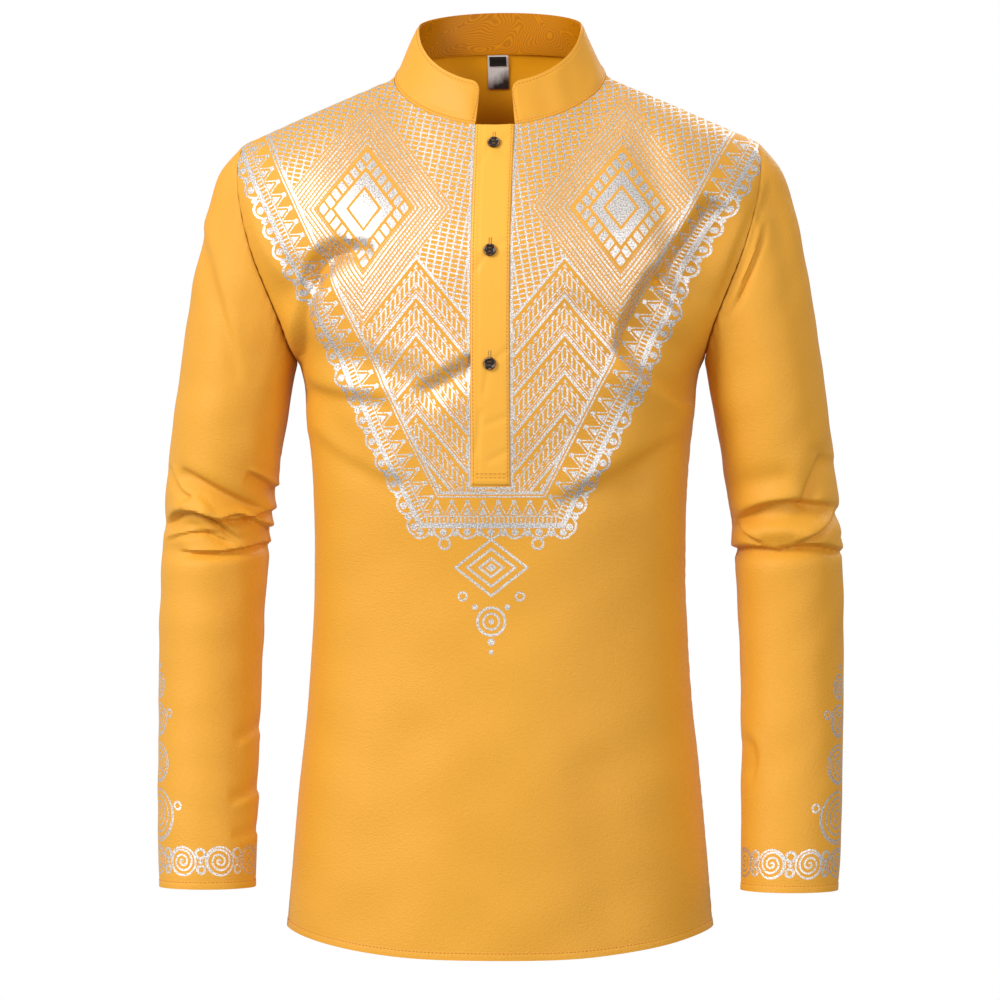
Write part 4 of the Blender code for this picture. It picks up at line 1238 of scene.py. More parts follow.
def back_tape(name, start, length, lift, half):
    """Tape sewn inside the back, from a drop down over a length, slightly bowed."""
    rows = strip_rows("back", start, start + length, step=1.6, seams=[0.0, length], fine=0.7)
    edges = [0.0, 2.0 * half]
    columns = LABEL_CENTRE + crowded(2.0 * half, step=1.5, seams=edges, fine=0.6, reach=2.0) - half
    x, t = np.meshgrid(columns, rows)
    points = panel_point("back", share_at("back", x, t), t)
    normals = normals_of(points, outward_of("back", 0.0 * x, t))
    drop = -points[..., 2]
    bow = 0.35 * np.sin((drop - start) / length * 2.0 * np.pi) * hump(x - LABEL_CENTRE, half)
    outer = points - normals * (SOLID_CLOTH + lift)
    inner = outer - normals * (TAPE - 0.1 + np.clip(bow, -0.2, 0.4))[..., None]
    flat = np.stack([x, drop], axis=-1) * MM
    return sheet_mesh(name, inner, outer, flat)


label_mesh = back_tape("label_tape", LABEL_TOP, LABEL_LENGTH, LAY_GAP, LABEL_HALF)
tab_mesh = back_tape("tab_tape", TAB_TOP, TAB_LENGTH, 2.0 * LAY_GAP + TAPE, TAB_HALF)
print("label faces", len(label_mesh.polygons))

# %% [markdown]
# ## Shader maths as plain expressions
#
# A material is a net of nodes, and a print needs hundreds of sums. Wiring them by hand is
# slow to read, so one small class wraps a socket and turns Python's own operators into Math
# nodes. Everything else, from noise to colour ramps, comes from one method.

# %% A wire between nodes
class Wire:
    """An output socket that adds Math nodes when it is used in a sum."""

    def __init__(self, finish, socket):
        self.finish = finish
        self.socket = socket

    def math(self, operation, *others):
        return self.finish.math(operation, self, *others)

    def __add__(self, other):
        return self.math("ADD", other)

    def __sub__(self, other):
        return self.math("SUBTRACT", other)

    def __mul__(self, other):
        return self.math("MULTIPLY", other)

    def __pow__(self, other):
        return self.math("POWER", other)

    def __radd__(self, other):
        return self.math("ADD", other)

    def __rsub__(self, other):
        return self.finish.math("SUBTRACT", other, self)

    def __rmul__(self, other):
        return self.math("MULTIPLY", other)

    def __abs__(self):
        return self.math("ABSOLUTE")

    def __lt__(self, other):
        return self.math("LESS_THAN", other)

    def __gt__(self, other):
        return self.math("GREATER_THAN", other)

    def near(self, centre, half):
        """1 where the value is within half of centre."""
        return self.math("COMPARE", centre, half)

    def fold(self, period):
        """Distance to the nearest multiple of the period."""
        return self.math("PINGPONG", 0.5 * period)

    def least(self, other):
        return self.math("MINIMUM", other)

    def most(self, other):
        return self.math("MAXIMUM", other)


# %% A finish
class Finish:
    """One material: a surface shader and the nodes that feed it."""

    def __init__(self, name, colour, **sockets):
        self.material = bpy.data.materials.new(name)
        self.material.use_nodes = True
        self.tree = self.material.node_tree
        self.surface = self.tree.nodes["Principled BSDF"]
        self.surface.inputs["Base Color"].default_value = (*colour, 1.0)
        self.material.diffuse_color = (*colour, 1.0)
        for socket, value in sockets.items():
            self.surface.inputs[socket.replace("_", " ")].default_value = value

    def connect(self, socket, value):
        if isinstance(value, Wire):
            self.tree.links.new(value.socket, socket)
        else:
            socket.default_value = value

    def node(self, kind, settings, sockets, output=0):
        """Node of a kind: its settings first, then its sockets, by name or number."""
        made = self.tree.nodes.new(kind)
        for name, value in settings.items():
            if name == "stops":
                while len(made.color_ramp.elements) < len(value):
                    made.color_ramp.elements.new(0.5)
                for stop, (place, colour) in zip(made.color_ramp.elements, value):
                    stop.position = place
                    stop.color = (*colour, 1.0)
            else:
                setattr(made, name, value)
        for key, value in sockets.items():
            self.connect(made.inputs[key], value)
        return Wire(self, made.outputs[output])

    def math(self, operation, *values):
        return self.node("ShaderNodeMath", {"operation": operation}, dict(enumerate(values)))

    def place(self):
        """Place in the object's own space, in metres."""
        return self.node("ShaderNodeTexCoord", {}, {}, "Object")

    def cut_place(self):
        """Place on the flat cut, in millimetres across and down."""
        cut = self.node("ShaderNodeUVMap", {"uv_map": "cut"}, {})
        apart = {"Vector": cut}
        across = self.node("ShaderNodeSeparateXYZ", {}, apart, "X")
        down = self.node("ShaderNodeSeparateXYZ", {}, apart, "Y")
        return cut, across * 1000.0, down * 1000.0

    def noise(self, vector, scale, detail=2.0, rough=0.5, stretch=(1.0, 1.0, 1.0)):
        moved = self.node("ShaderNodeVectorMath", {"operation": "MULTIPLY"}, {0: vector, 1: stretch})
        values = {"Vector": moved, "Scale": scale, "Detail": detail, "Roughness": rough}
        return self.node("ShaderNodeTexNoise", {"noise_dimensions": "3D"}, values, 0)

    def blend(self, amount, first, second):
        """Colour mix: first where amount is 0, second where it is 1."""
        made = self.tree.nodes.new("ShaderNodeMix")
        made.data_type = "RGBA"
        made.clamp_factor = True
        self.connect(made.inputs[0], amount)
        for number, value in ((6, first), (7, second)):
            self.connect(made.inputs[number], value if isinstance(value, Wire) else (*value, 1.0))
        return Wire(self, made.outputs[2])

    def bump(self, height, strength, distance, below=None):
        sockets = {"Height": height, "Strength": strength, "Distance": distance}
        if below is not None:
            sockets["Normal"] = below
        return self.node("ShaderNodeBump", {}, sockets)

    def feed(self, **values):
        for name, value in values.items():
            self.connect(self.surface.inputs[name.replace("_", " ")], value)
        return self.material


def distance(x, y):
    """How far a place is from the origin of its two wires."""
    return (x ** 2.0 + y ** 2.0) ** 0.5


# %% [markdown]
# ## Golden satin
#
# Satin is smooth thread laid mostly one way: a soft highlight, a finely ribbed surface and a
# faint cloudiness where it has been handled. Sheen gives the pale rim of cloth at its edges.
# The weave is drawn on the flat cut, so it turns with the cloth as real threads do.

# %% Colours
GOLD = (0.80, 0.382, 0.036)
GOLD_DEEP = (0.72, 0.320, 0.022)
OCHRE = (0.66, 0.240, 0.001)
OCHRE_DEEP = (0.43, 0.137, 0.001)
# lighter copy of GOLD for the placket strip: painted highlight, as the flat strip catches the most light
STRIP_PAINTED_HIGHLIGHT = (0.92, 0.46, 0.055)
# brighter copy of the satin for the inner faces: painted light, standing in for light that the shaded inside
# does not get
INSIDE_PAINTED_LIGHT = (1.0, 0.43, 0.004)
INSIDE_DEEP_PAINTED_LIGHT = (0.88, 0.35, 0.002)
FOIL = (0.93, 0.89, 0.87)
FOIL_DEEP = (0.30, 0.27, 0.275)


class Satin(Finish):
    """Golden satin, with room for a foil print on top."""

    def __init__(self, name, light, deep, rough, sheen=0.06):
        super().__init__(name, light, Sheen_Weight=sheen, Sheen_Roughness=0.4,
                         Sheen_Tint=(1.0, 0.74, 0.36, 1.0), Specular_IOR_Level=0.32)
        self.cut, self.across, self.down = self.cut_place()
        cloud = self.noise(self.place(), 7.0, 3.0)
        weft = self.noise(self.cut, 1000.0, 1.0, 0.5, (0.22, 1.0, 1.0))
        warp = self.noise(self.cut, 1000.0, 1.0, 0.5, (1.0, 0.35, 1.0))
        self.weave = weft * 0.65 + warp * 0.35
        self.colour = self.blend(cloud * 0.9 + self.weave * 0.45 - 0.32, light, deep)
        self.rough = self.weave * 0.16 + (rough - 0.08)
        crush = self.noise(self.place(), 55.0, 3.0, 0.55)
        self.relief = self.bump(self.weave, 0.22, 0.0002, self.bump(crush, 0.12, 0.0016))

    def plain(self):
        return self.feed(Base_Color=self.colour, Roughness=self.rough, Normal=self.relief)

    def foiled(self, mask):
        """Silver foil where the mask is 1: metal with pores, flecks and a soft edge."""
        fleck = self.noise(self.cut, 850.0, 3.0, 0.6)
        crackle = self.noise(self.cut, 420.0, 3.0, 0.65)
        worn = mask * (1.0 - (crackle > 0.66) * 0.55)
        silver = self.blend(fleck * 4.0 - 1.35, FOIL_DEEP, FOIL)
        grain = self.bump(fleck + crackle, 0.8, 0.0005, self.relief)
        colour = self.blend(worn, self.colour, silver)
        rough = self.rough * (1.0 - worn) + worn * (fleck * 0.2 + 0.34)
        return self.feed(Base_Color=colour, Metallic=worn * 0.92, Roughness=rough, Normal=grain)


gold_plain = Satin("gold_satin", GOLD, GOLD_DEEP, 0.50).plain()
# lighter copy of the satin for the placket: painted highlight
gold_strip_painted_highlight = Satin("gold_satin_strip_painted_highlight", STRIP_PAINTED_HIGHLIGHT, GOLD, 0.46).plain()
# brighter copy of the satin for the inner faces: painted light on the shaded inside
gold_inside_painted_light = Satin("gold_satin_inside_painted_light", INSIDE_PAINTED_LIGHT, INSIDE_DEEP_PAINTED_LIGHT, 0.6, 0.0).plain()
print("plain satins ready")

# %% [markdown]
# ## The foil ornament
#
# A silver foil design is pressed on the front and the sleeves. It is drawn here as maths on
# the flat cut, in millimetres, so it needs no picture and stays sharp. The body design is made
# of old common elements: a scalloped edge, ladders, triangles, lozenges and chevrons. "Near"
# gives a line, "fold" repeats it, "most" joins two shapes and a product keeps what they share.

# %% Yoke of the front
YOKE_CORNER = 224.0
YOKE_START = 62.0
YOKE_SLOPE = 0.503
YOKE_END = 386.0
SLANT = math.hypot(1.0, YOKE_SLOPE)
BAND_WIDTH = 30.5
RIM_HALF = 2.2
LADDER = (6.8, 2.6)
RUNG_PITCH = 3.6
TRIANGLE_ROW = (17.9, 6.7)
TRIANGLE_FOOT = 11.2
TRIANGLE_PITCH = 13.0
BEAD_ROW = 21.5
SCALLOP_PITCH = 20.0
# middle and half width of each line along the edge
EDGE_LINES = (
    (9.9, 0.55),
    (26.2, 0.6),
    (29.3, 1.25),
)


def yoke(satin):
    """Distance in from the yoke's edge, and the place along that edge."""
    x, drop = abs(satin.across), satin.down
    side = (YOKE_CORNER - x - (drop - YOKE_START) * YOKE_SLOPE) * (1.0 / SLANT)
    along_side = ((drop - YOKE_START) - (x - YOKE_CORNER) * YOKE_SLOPE) * (1.0 / SLANT)
    foot = YOKE_END - drop
    at_foot = foot < side
    along = along_side + (x - along_side) * at_foot
    return side.least(foot), along


def edge_bands(e, along):
    """Solid rim, ladder, triangles and lines, one inside the other."""
    bands = e.near(RIM_HALF, RIM_HALF).most(e.near(*LADDER) * (along.fold(RUNG_PITCH) < 0.75))
    for middle, half in EDGE_LINES:
        bands = bands.most(e.near(middle, half))
    slope = along.fold(TRIANGLE_PITCH) * 2.0 - (e - TRIANGLE_FOOT)
    triangles = e.near(*TRIANGLE_ROW) * slope.near(1.0, 1.0).most(slope > 6.0)
    between = (along + 0.5 * TRIANGLE_PITCH).fold(TRIANGLE_PITCH)
    beads = between.most(abs(e - BEAD_ROW) * 1.1) < 1.9
    return bands.most(triangles).most(beads)


def scallops(e, along):
    """Half rings outside the rim, each with a bead, and small beads between them."""
    repeat = along.fold(SCALLOP_PITCH)
    radius = distance(e, repeat)
    middle = distance(e + 3.4, repeat)
    between = distance(e + 4.6, (along + 0.5 * SCALLOP_PITCH).fold(SCALLOP_PITCH))
    shapes = radius.near(8.4, 0.95).most(middle < 3.0).most(between < 2.3)
    return shapes * (e < 0.6) * (e > -10.5)


# %% Lozenges on the chest
LOZENGE_X = 108.0
LOZENGE_DROP = 118.0
LOZENGE_HALF = (46.0, 60.0)
LOZENGE_CORE = 0.84
RINGS_START = 0.9
RINGS_END = 1.66
RING_PITCH = 0.088
RAIL_PITCH = 0.352


def lozenges(satin):
    """Concentric lozenges, solid in the middle and beaded outside; also their contour."""
    x = (abs(satin.across) - LOZENGE_X) * (1.0 / LOZENGE_HALF[0])
    y = (satin.down - LOZENGE_DROP) * (1.0 / LOZENGE_HALF[1])
    m = abs(x) + abs(y)
    turn = abs(x) - abs(y)
    core = (m < LOZENGE_CORE) * (1.0 - m.near(0.30, 0.03)) * (1.0 - m.near(0.58, 0.035))
    notch = (m > 0.61) * (turn.fold(0.21) < 0.028)
    core = core * (1.0 - notch)
    outside = m > RINGS_START
    rings = outside * m.fold(RING_PITCH).near(0.0, 0.025) * (turn.fold(0.075) > 0.010)
    rails = outside * m.fold(RAIL_PITCH).near(0.0, 0.02)
    return core.most(rings).most(rails), m


# %% Net and chevrons
CHEVRON_START = 158.5
CHEVRON_PITCH = 32.0
CHEVRON_WIDTH = 84.0
CHEVRON_PEAK = 62.0
CHEVRON_RISE = 1.2
LOZENGE_ROW = 7.4


def field(satin, e, m):
    """Net, nested chevrons and rows of small lozenges that fill the rest of the yoke."""
    x, drop = abs(satin.across), satin.down
    net_down = (x - drop * 0.16).fold(6.8) < 0.78
    net_across = (drop + x * 0.22).fold(4.1) < 0.58
    rise = drop - (x - CHEVRON_PEAK).fold(CHEVRON_WIDTH) * CHEVRON_RISE
    level = rise.fold(CHEVRON_PITCH)
    bars = level < 1.9
    beside = (rise + 4.2).fold(CHEVRON_PITCH) < 0.6
    rungs = (level > 11.0) * (x.fold(4.0) < 0.72)
    rails = level.near(10.6, 0.7)
    from_row = (level - LOZENGE_ROW).fold(30.0)
    lozenge = level.near(LOZENGE_ROW, 1.8) * (from_row + (x + 2.5).fold(5.0) < 1.7)
    low = rise > CHEVRON_START
    chevrons = bars.most(beside).most(rungs).most(rails).most(lozenge)
    filled = (net_down.most(net_across) * (1.0 - low)).most(chevrons * low)
    return filled * (m > RINGS_END) * (e > BAND_WIDTH)


# %% Line round the placket and the pendant under the yoke
LINE_SIDE = 18.0
LINE_END = 353.0
PENDANT_DROP = 419.0
PENDANT_HALF = (37.0, 29.0)
# rings and beads of the pendant: distance from the middle, drop, radius, half width
PENDANT_RINGS = (
    (39.0, 399.0, 4.4, 0.95),
    (24.0, 443.0, 3.4, 0.9),
    (0.0, 464.0, 11.5, 1.1),
    (0.0, 464.0, 6.6, 0.9),
    (0.0, 464.0, 0.0, 2.3),
    (0.0, 481.0, 0.0, 3.0),
    (0.0, 489.5, 0.0, 2.1),
    (13.5, 452.0, 0.0, 2.4),
)


def placket_line(satin):
    """Line of foil beside the placket and across its foot."""
    x, drop = abs(satin.across), satin.down
    beside = x.near(17.9, 1.1) * (drop < LINE_END)
    below = (drop - 352.6).near(0.0, 1.0) * (x < 19.0)
    return beside.most(below)


def ring(satin, x, drop, radius, half):
    """Round line on both sides of the middle, or a bead where the radius is nothing."""
    return distance(abs(satin.across) - x, satin.down - drop).near(radius, half)


def pendant(satin):
    """Nested lozenge with beads, hung from the middle of the yoke's edge."""
    x, drop = abs(satin.across), satin.down
    m = x * (1.0 / PENDANT_HALF[0]) + abs(drop - PENDANT_DROP) * (1.0 / PENDANT_HALF[1])
    shapes = (m < 0.97) * m.fold(0.27).near(0.0, 0.045).most(m < 0.13)
    for row in PENDANT_RINGS:
        shapes = shapes.most(ring(satin, *row))
    return shapes


# %% Front satin with its ornament
front_satin = Satin("gold_satin_front", GOLD, GOLD_DEEP, 0.50)
e, along = yoke(front_satin)
chest, contour = lozenges(front_satin)
inner = (chest * (contour < RINGS_END)).most(field(front_satin, e, contour)) * (e > BAND_WIDTH)
off_placket = (abs(front_satin.across) > LINE_SIDE).most(front_satin.down > LINE_END)
body_print = edge_bands(e, along).most(inner) * (e > 0.0) * off_placket
body_print = body_print.most(placket_line(front_satin))
body_print = body_print.most(scallops(e, along)).most(pendant(front_satin))
gold_printed = front_satin.foiled(body_print)
print("front print nodes:", len(gold_printed.node_tree.nodes))

# %% [markdown]
# ## Sleeve ornament
#
# Round each cuff runs a band of spirals with a pair of loops between them, and smaller
# spirals climb the outer side. A spiral is a line where the distance from its middle, counted
# in turns, matches the angle.

# %% Spirals
CUFF_SPIRALS = 8
CUFF_MIDDLE = 24.0
CUFF_CLOSING = 2.6
cuff_length = arc(left_outer, 1)[-1, -1] + CUFF_CLOSING
SPIRAL_PERIOD = cuff_length / CUFF_SPIRALS


def spiral(satin, x, y, radius, pitch, half, hand):
    """Spiral line round a middle, x and y from it."""
    far = distance(x, y)
    angle = satin.math("ARCTAN2", y, x) * (hand / (2.0 * math.pi))
    winding = (far * (1.0 / pitch) - angle + 8.0).fold(1.0) * pitch
    return (winding < half) * (far < radius)


def loop(x, y, radius, half):
    """Round line about a place, or a bead where the radius is nothing."""
    return distance(x, y).near(radius, half)


def cuff_band(satin):
    """Spirals with loops and beads between them, round the cuff."""
    u = satin.across + 20.0 * SPIRAL_PERIOD
    x = satin.math("MODULO", u, SPIRAL_PERIOD) - 0.5 * SPIRAL_PERIOD
    y = satin.down - CUFF_MIDDLE
    curl = spiral(satin, x, y, 11.6, 4.3, 0.85, 1.0)
    rim = loop(x, y, 12.0, 0.8)
    side = u.fold(SPIRAL_PERIOD)
    loops = loop(side, y - 6.3, 3.9, 1.15).most(loop(side, y + 7.2, 3.2, 1.1))
    beads = loop(side, y + 0.6, 0.0, 1.9)
    return curl.most(rim).most(loops).most(beads) * (abs(y) < 13.2)


# %% Spirals up the outer side: place above the cuff, radius, pitch, hand
CLIMB_FRONT = 19.0
CLIMB_TOP = 190.0
CLIMB = (
    (62.0, 22.0, 5.2, 1.0),
    (107.0, 16.5, 4.6, -1.0),
    (144.0, 13.5, 4.2, 1.0),
    (173.0, 10.5, 3.8, -1.0),
)


def climbing(satin):
    """Smaller and smaller spirals up the outer side."""
    shapes = (satin.down - CLIMB_TOP).near(0.0, 2.2) * satin.across.near(CLIMB_FRONT, 2.2)
    for up, radius, pitch, hand in CLIMB:
        x, y = satin.across - CLIMB_FRONT, satin.down - up
        shapes = shapes.most(spiral(satin, x, y, radius, pitch, 0.8, hand))
        shapes = shapes.most(loop(x, y, radius, 0.75))
        shapes = shapes.most(loop(x - hand * (radius + 5.0), y - 0.4 * radius, 3.2, 0.9))
    return shapes


sleeve_satin = Satin("gold_satin_sleeve", GOLD, GOLD_DEEP, 0.50)
gold_sleeve = sleeve_satin.foiled(cuff_band(sleeve_satin).most(climbing(sleeve_satin)))
print("sleeve print nodes:", len(gold_sleeve.node_tree.nodes), "spiral period", round(SPIRAL_PERIOD, 2))

# %% [markdown]
# ## Lining, tapes, thread and buttons
#
# The collar is lined with a darker watered satin, whose wavy figure comes from two pressed
# layers. The label is shiny grey tape with a painted highlight at its top and painted shade
# at its foot, and its tab is matt black. Thread is a twisted, slightly brighter gold. The
# buttons are black polyester with streaks of brown and gold on the rim.

# %% Watered lining
def watered(name):
    """Satin with a wavy figure: folded noise makes its rings and lines."""
    finish = Finish(name, OCHRE, Specular_IOR_Level=0.22)
    cut, _, down = finish.cut_place()
    bend = finish.noise(cut, 21.0, 1.0, 0.4, (1.0, 1.5, 1.0))
    lines = (down * 0.3 + bend * 95.0).fold(2.5) * (2.0 / 2.5)
    weave = finish.noise(cut, 1100.0, 1.0, 0.5, (0.25, 1.0, 1.0))
    shade = finish.blend(lines * 0.85 + weave * 0.4 - 0.2, OCHRE, OCHRE_DEEP)
    normal = finish.bump(weave, 0.2, 0.0002)
    return finish.feed(Base_Color=shade, Roughness=lines * 0.14 + 0.36, Normal=normal)


ochre_lining = watered("ochre_lining")


# %% Thread
def thread(name, colour, deep):
    """Twisted thread in two shades of one colour."""
    finish = Finish(name, colour, Roughness=0.42, Sheen_Weight=0.2, Specular_IOR_Level=0.4)
    twist = finish.noise(finish.place(), 2600.0, 1.0, 0.5, (1.0, 1.0, 0.5))
    shade = finish.blend(twist, colour, deep)
    return finish.feed(Base_Color=shade, Normal=finish.bump(twist, 0.4, 0.0002))


gold_thread = thread("gold_thread", (0.74, 0.28, 0.02), (0.46, 0.15, 0.008))
brown_thread = thread("brown_thread", (0.28, 0.13, 0.03), (0.12, 0.05, 0.012))


# %% Buttons
BLACK = (0.012, 0.011, 0.010)
RIM_RADIUS = 4.6
RIM_WIDTH = 0.42
RIM_HEIGHT = 2.3
# place on the ramp, colour
STREAKS = (
    (0.30, (0.010, 0.009, 0.008)),
    (0.48, (0.10, 0.035, 0.012)),
    (0.60, (0.62, 0.30, 0.12)),
    (0.72, (0.03, 0.015, 0.01)),
)


def button_finish(places):
    """Glossy black with brown and gold streaks where the rim is."""
    finish = Finish("button_black", BLACK, Specular_IOR_Level=0.3, Coat_Roughness=0.05)
    here = finish.place()
    rim = None
    for place in places:
        middle = place.to_translation() + place.to_3x3().col[2] * RIM_HEIGHT * MM
        ends = {0: here, 1: tuple(middle)}
        offset = finish.node("ShaderNodeVectorMath", {"operation": "DISTANCE"}, ends, "Value")
        near = offset.near(RIM_RADIUS * MM, RIM_WIDTH * MM)
        rim = near if rim is None else rim.most(near)
    swirl = finish.noise(here, 420.0, 4.0, 0.6, (1.0, 1.0, 0.4))
    streak = finish.node("ShaderNodeValToRGB", {"stops": STREAKS}, {"Fac": swirl})
    shade = finish.blend(rim * 0.92 + (swirl > 0.62) * 0.12, BLACK, streak)
    scratch = finish.noise(here, 900.0, 2.0, 0.6, (1.0, 0.1, 1.0))
    return finish.feed(Base_Color=shade, Roughness=scratch * 0.14 + 0.06, Coat_Weight=0.2 - rim * 0.1)


button_places = [front_place(0.0, drop, button_lift) for drop in BUTTON_DROPS]
button_black = button_finish(button_places)


# %% Tapes
# where the painted highlight on the tapes ends, and over what length it fades into painted shade
PAINTED_SHINE_END = -16.0
PAINTED_SHINE_FADE = 13.0


def tape(name, light, deep, rough, shine):
    """Shiny woven tape, pale near its top and dark at its foot: painted highlight and painted shade."""
    finish = Finish(name, light, Specular_IOR_Level=shine)
    cut, across, down = finish.cut_place()
    rib = finish.noise(cut, 1300.0, 1.0, 0.5, (1.0, 0.25, 1.0))
    cloud = finish.noise(cut, 90.0, 3.0, 0.6, (1.6, 0.7, 1.0))
    # painted highlight and shade: paler at the top, darker towards the foot, with cloud patches as on
    # crumpled shiny tape
    painted_shine_fall = (down - PAINTED_SHINE_END + across * 0.5) * (1.0 / PAINTED_SHINE_FADE)
    shade = finish.blend(painted_shine_fall + rib * 0.25 + cloud * 1.2 - 0.95, light, deep)
    return finish.feed(Base_Color=shade, Roughness=rib * 0.2 + rough, Normal=finish.bump(rib, 0.4, 0.0002))


silver_tape_painted_shine = tape("silver_tape_painted_shine", (0.86, 0.85, 0.84), (0.030, 0.024, 0.020), 0.2, 0.3)
black_tape = tape("black_tape", (0.018, 0.017, 0.016), (0.008, 0.008, 0.007), 0.45, 0.2)

print("materials:", len(bpy.data.materials))

# %% [markdown]
# ## Light and camera
#
# A shop cuts such a shirt out on pure white, so nothing stands behind it and the world itself
# shows white. One large soft light stands at the front left, as in a studio, with a weaker one
# at the front right and one behind. The room round them glows more from the upper left than
# from the lower right. The camera is far away with a long lens, as a shop's is, and a few
# degrees to the right.

# %% Lights
MIDDLE = (0.0, 0.0, -0.3625)
# name, place, width and height, watts, colour
LIGHTS = (
    ("key", (-2.4, -2.2, 1.4), (1.1, 1.5), 93.0, (1.0, 0.98, 0.95)),
    ("fill", (2.0, -2.8, 0.2), (1.4, 2.0), 43.0, (1.0, 0.985, 0.96)),
    ("back_rim", (1.5, 2.2, 1.6), (1.6, 1.2), 26.0, (1.0, 0.98, 0.96)),
)


def soft_light(name, at, size, watts, colour):
    """Flat soft light that points at the middle of the shirt."""
    lamp = bpy.data.lights.new(name, "AREA")
    lamp.shape = "RECTANGLE"
    lamp.size, lamp.size_y = size
    lamp.energy = watts
    lamp.color = colour
    holder = bpy.data.objects.new(name, lamp)
    bpy.context.scene.collection.objects.link(holder)
    holder.location = at
    holder.rotation_euler = (Vector(MIDDLE) - Vector(at)).to_track_quat("-Z", "Y").to_euler()
    return holder


for row in LIGHTS:
    soft_light(*row)
print("lights:", len(LIGHTS))

# %% The room
BRIGHT_SIDE = (-0.62, 0.0, 0.78)
GLOW_REACH = 0.7
GLOW = (0.25, 0.71)
GLOW_COLOUR = (1.0, 0.99, 0.975)


def pale_room(low, high, colour):
    """World that glows most on its bright side and shows white to the camera."""
    world = bpy.data.worlds.new("pale_room")
    world.use_nodes = True
    nodes, links = world.node_tree.nodes, world.node_tree.links
    dim = nodes["Background"]
    dim.inputs["Color"].default_value = (*colour, 1.0)
    direction = nodes.new("ShaderNodeTexCoord")
    towards = nodes.new("ShaderNodeVectorMath")
    towards.operation = "DOT_PRODUCT"
    towards.inputs[1].default_value = BRIGHT_SIDE
    glow = nodes.new("ShaderNodeMapRange")
    glow.inputs["From Min"].default_value = -GLOW_REACH
    glow.inputs["From Max"].default_value = GLOW_REACH
    glow.inputs["To Min"].default_value = low
    glow.inputs["To Max"].default_value = high
    links.new(direction.outputs["Generated"], towards.inputs[0])
    links.new(towards.outputs["Value"], glow.inputs["Value"])
    links.new(glow.outputs["Result"], dim.inputs["Strength"])
    shown = nodes.new("ShaderNodeBackground")
    shown.inputs["Color"].default_value = (1.0, 1.0, 1.0, 1.0)
    rays = nodes.new("ShaderNodeLightPath")
    both = nodes.new("ShaderNodeMixShader")
    links.new(rays.outputs["Is Camera Ray"], both.inputs[0])
    links.new(dim.outputs["Background"], both.inputs[1])
    links.new(shown.outputs["Background"], both.inputs[2])
    links.new(both.outputs["Shader"], nodes["World Output"].inputs["Surface"])
    return world


bpy.context.scene.world = pale_room(*GLOW, GLOW_COLOUR)
bpy.context.scene.view_settings.view_transform = "Standard"

# %% Camera
VIEW_ANGLE = math.radians(4.0)
VIEW_DISTANCE = 4.0
LENS = 168.0
SENSOR = 36.0
lens = bpy.data.cameras.new("photo_view")
lens.lens = LENS
lens.sensor_width = SENSOR
camera = bpy.data.objects.new("photo_view", lens)
bpy.context.scene.collection.objects.link(camera)
camera.location = (VIEW_DISTANCE * math.sin(VIEW_ANGLE), -VIEW_DISTANCE * math.cos(VIEW_ANGLE), MIDDLE[2])
camera.rotation_euler = (math.radians(90.0), 0.0, VIEW_ANGLE)
bpy.context.scene.camera = camera

# %% [markdown]
# ## Fasten every piece to the solids
#
# The shirt has one rigid body, so every piece rides on it. Each fine sheet stands for the
# plain solid of the same name, which is hidden, and a table lists the size each was cut to.

# %% Pieces, the solids they stand for and their slots
front_cloth = add_piece("front_cloth", front_mesh, [gold_printed, gold_inside_painted_light])
back_cloth = add_piece("back_cloth", back_mesh, [gold_plain, gold_inside_painted_light])
left_cloth = add_piece("sleeve_left_cloth", left_mesh, [gold_sleeve, gold_inside_painted_light])
right_cloth = add_piece("sleeve_right_cloth", right_mesh, [gold_sleeve, gold_inside_painted_light])
collar_cloth = add_piece("collar_cloth", collar_mesh, [gold_plain, ochre_lining])
collar_lining = add_piece("collar_lining", lining_mesh, [ochre_lining, ochre_lining])
placket_cloth = add_piece("placket_cloth", placket_mesh, [gold_strip_painted_highlight, gold_inside_painted_light])
under_cloth = add_piece("placket_under_cloth", under_mesh, [gold_plain, gold_inside_painted_light])
label_tape = add_piece("label_tape", label_mesh, [silver_tape_painted_shine, silver_tape_painted_shine])
tab_tape = add_piece("tab_tape", tab_mesh, [black_tape, black_tape])

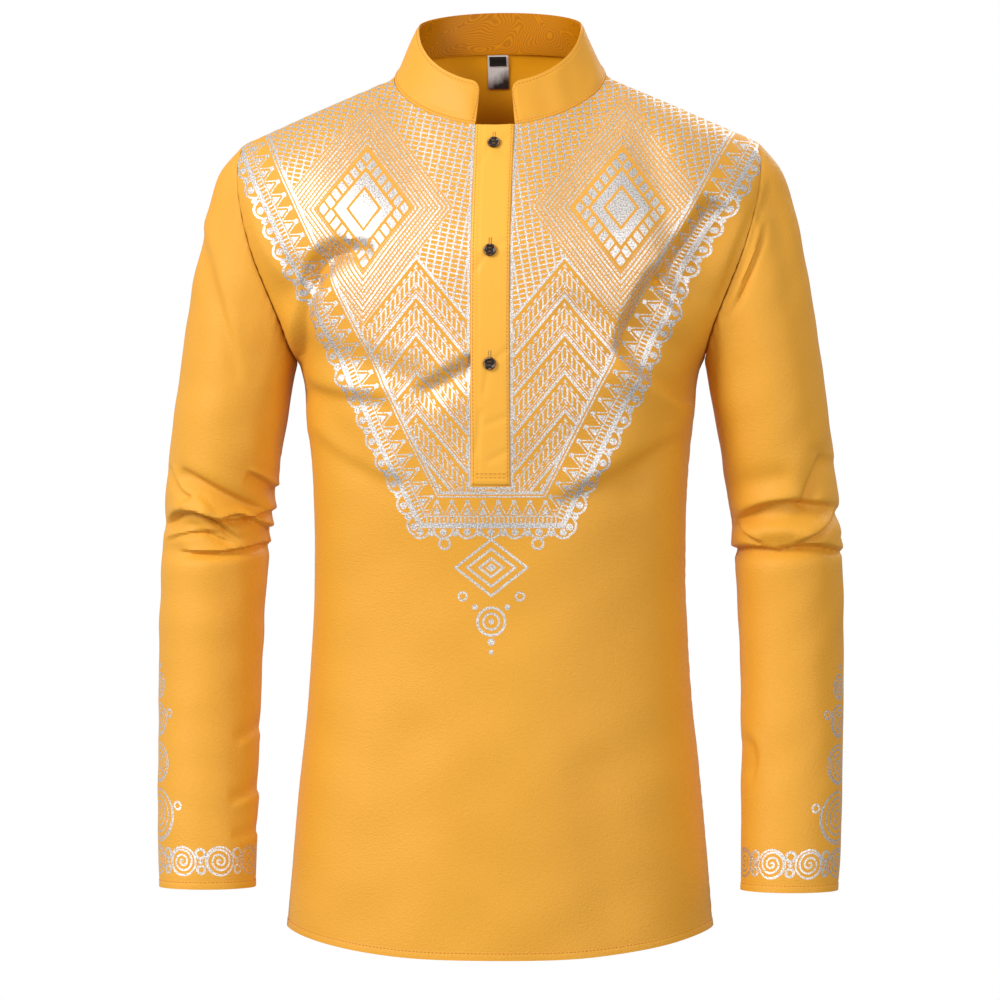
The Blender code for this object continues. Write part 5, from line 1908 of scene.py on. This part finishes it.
fittings = [
    (front_cloth, "front_panel", "cloth"),
    (back_cloth, "back_panel", "cloth"),
    (left_cloth, "sleeve_left", "cloth"),
    (right_cloth, "sleeve_right", "cloth"),
    (collar_cloth, "collar_band", "cloth"),
    (collar_lining, "collar_facing", "facing"),
    (placket_cloth, "placket", "cloth"),
    (under_cloth, "placket_under", "cloth"),
    (label_tape, "neck_label", "label"),
    (tab_tape, "size_tab", "tab"),
]
for number, body in enumerate(buttons, start=1):
    body.data.materials.clear()
    body.data.materials.append(button_black)
    fittings.append((body, "button_%d" % number, "button"))
for piece, node, slot in fittings:
    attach(piece, "root")
    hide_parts(node)
for piece in stitching + button_threads + buttonholes:
    piece.data.materials.clear()
    piece.data.materials.append(gold_thread if piece in stitching else brown_thread)
    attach(piece, "root")

# %% The cut of each sheet: width and length of its rectangle, area inside it, how it is held
def cloth_area(piece):
    """Area of one face of a sheet, in square metres."""
    return 0.5 * sum(face.area for face in piece.data.polygons)


collar_sewn, placket_sewn, front_hem, back_hem, left_hem, right_hem = stitching
# piece, cut width, cut length, area of the cut, held, what it rests on, what is on it
CUTS = (
    (front_cloth, 0.545, 0.790, 0.330, "draped", ["back_panel", "sleeve_left", "sleeve_right"], [front_hem]),
    (back_cloth, 0.520, 0.795, 0.334, "draped", ["front_panel", "sleeve_left", "sleeve_right"], [back_hem]),
    (left_cloth, 0.468, 0.650, 0.168, "draped", ["front_panel", "back_panel"], [left_hem]),
    (right_cloth, 0.468, 0.650, 0.168, "draped", ["front_panel", "back_panel"], [right_hem]),
    (collar_cloth, 0.460, 0.052, 0.0162, "draped", ["front_panel", "back_panel"], [collar_sewn]),
    (collar_lining, 0.456, 0.051, 0.0156, "laid", ["collar_band"], []),
    (placket_cloth, 0.032, 0.309, None, "laid", ["front_panel"], [placket_sewn] + buttonholes),
    (under_cloth, 0.026, 0.298, None, "laid", ["front_panel"], []),
    (label_tape, 0.018, 0.030, None, "hung", ["back_panel"], []),
    (tab_tape, 0.0148, 0.0102, None, "laid", ["neck_label"], []),
)
for piece, width, length, area, held, rests_on, sewn_on in CUTS:
    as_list(rests_on)
    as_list(sewn_on)
    triangles = sum(len(face.vertices) - 2 for face in piece.data.polygons)
    print(piece.name, "area", round(cloth_area(piece), 5), "triangles", triangles)
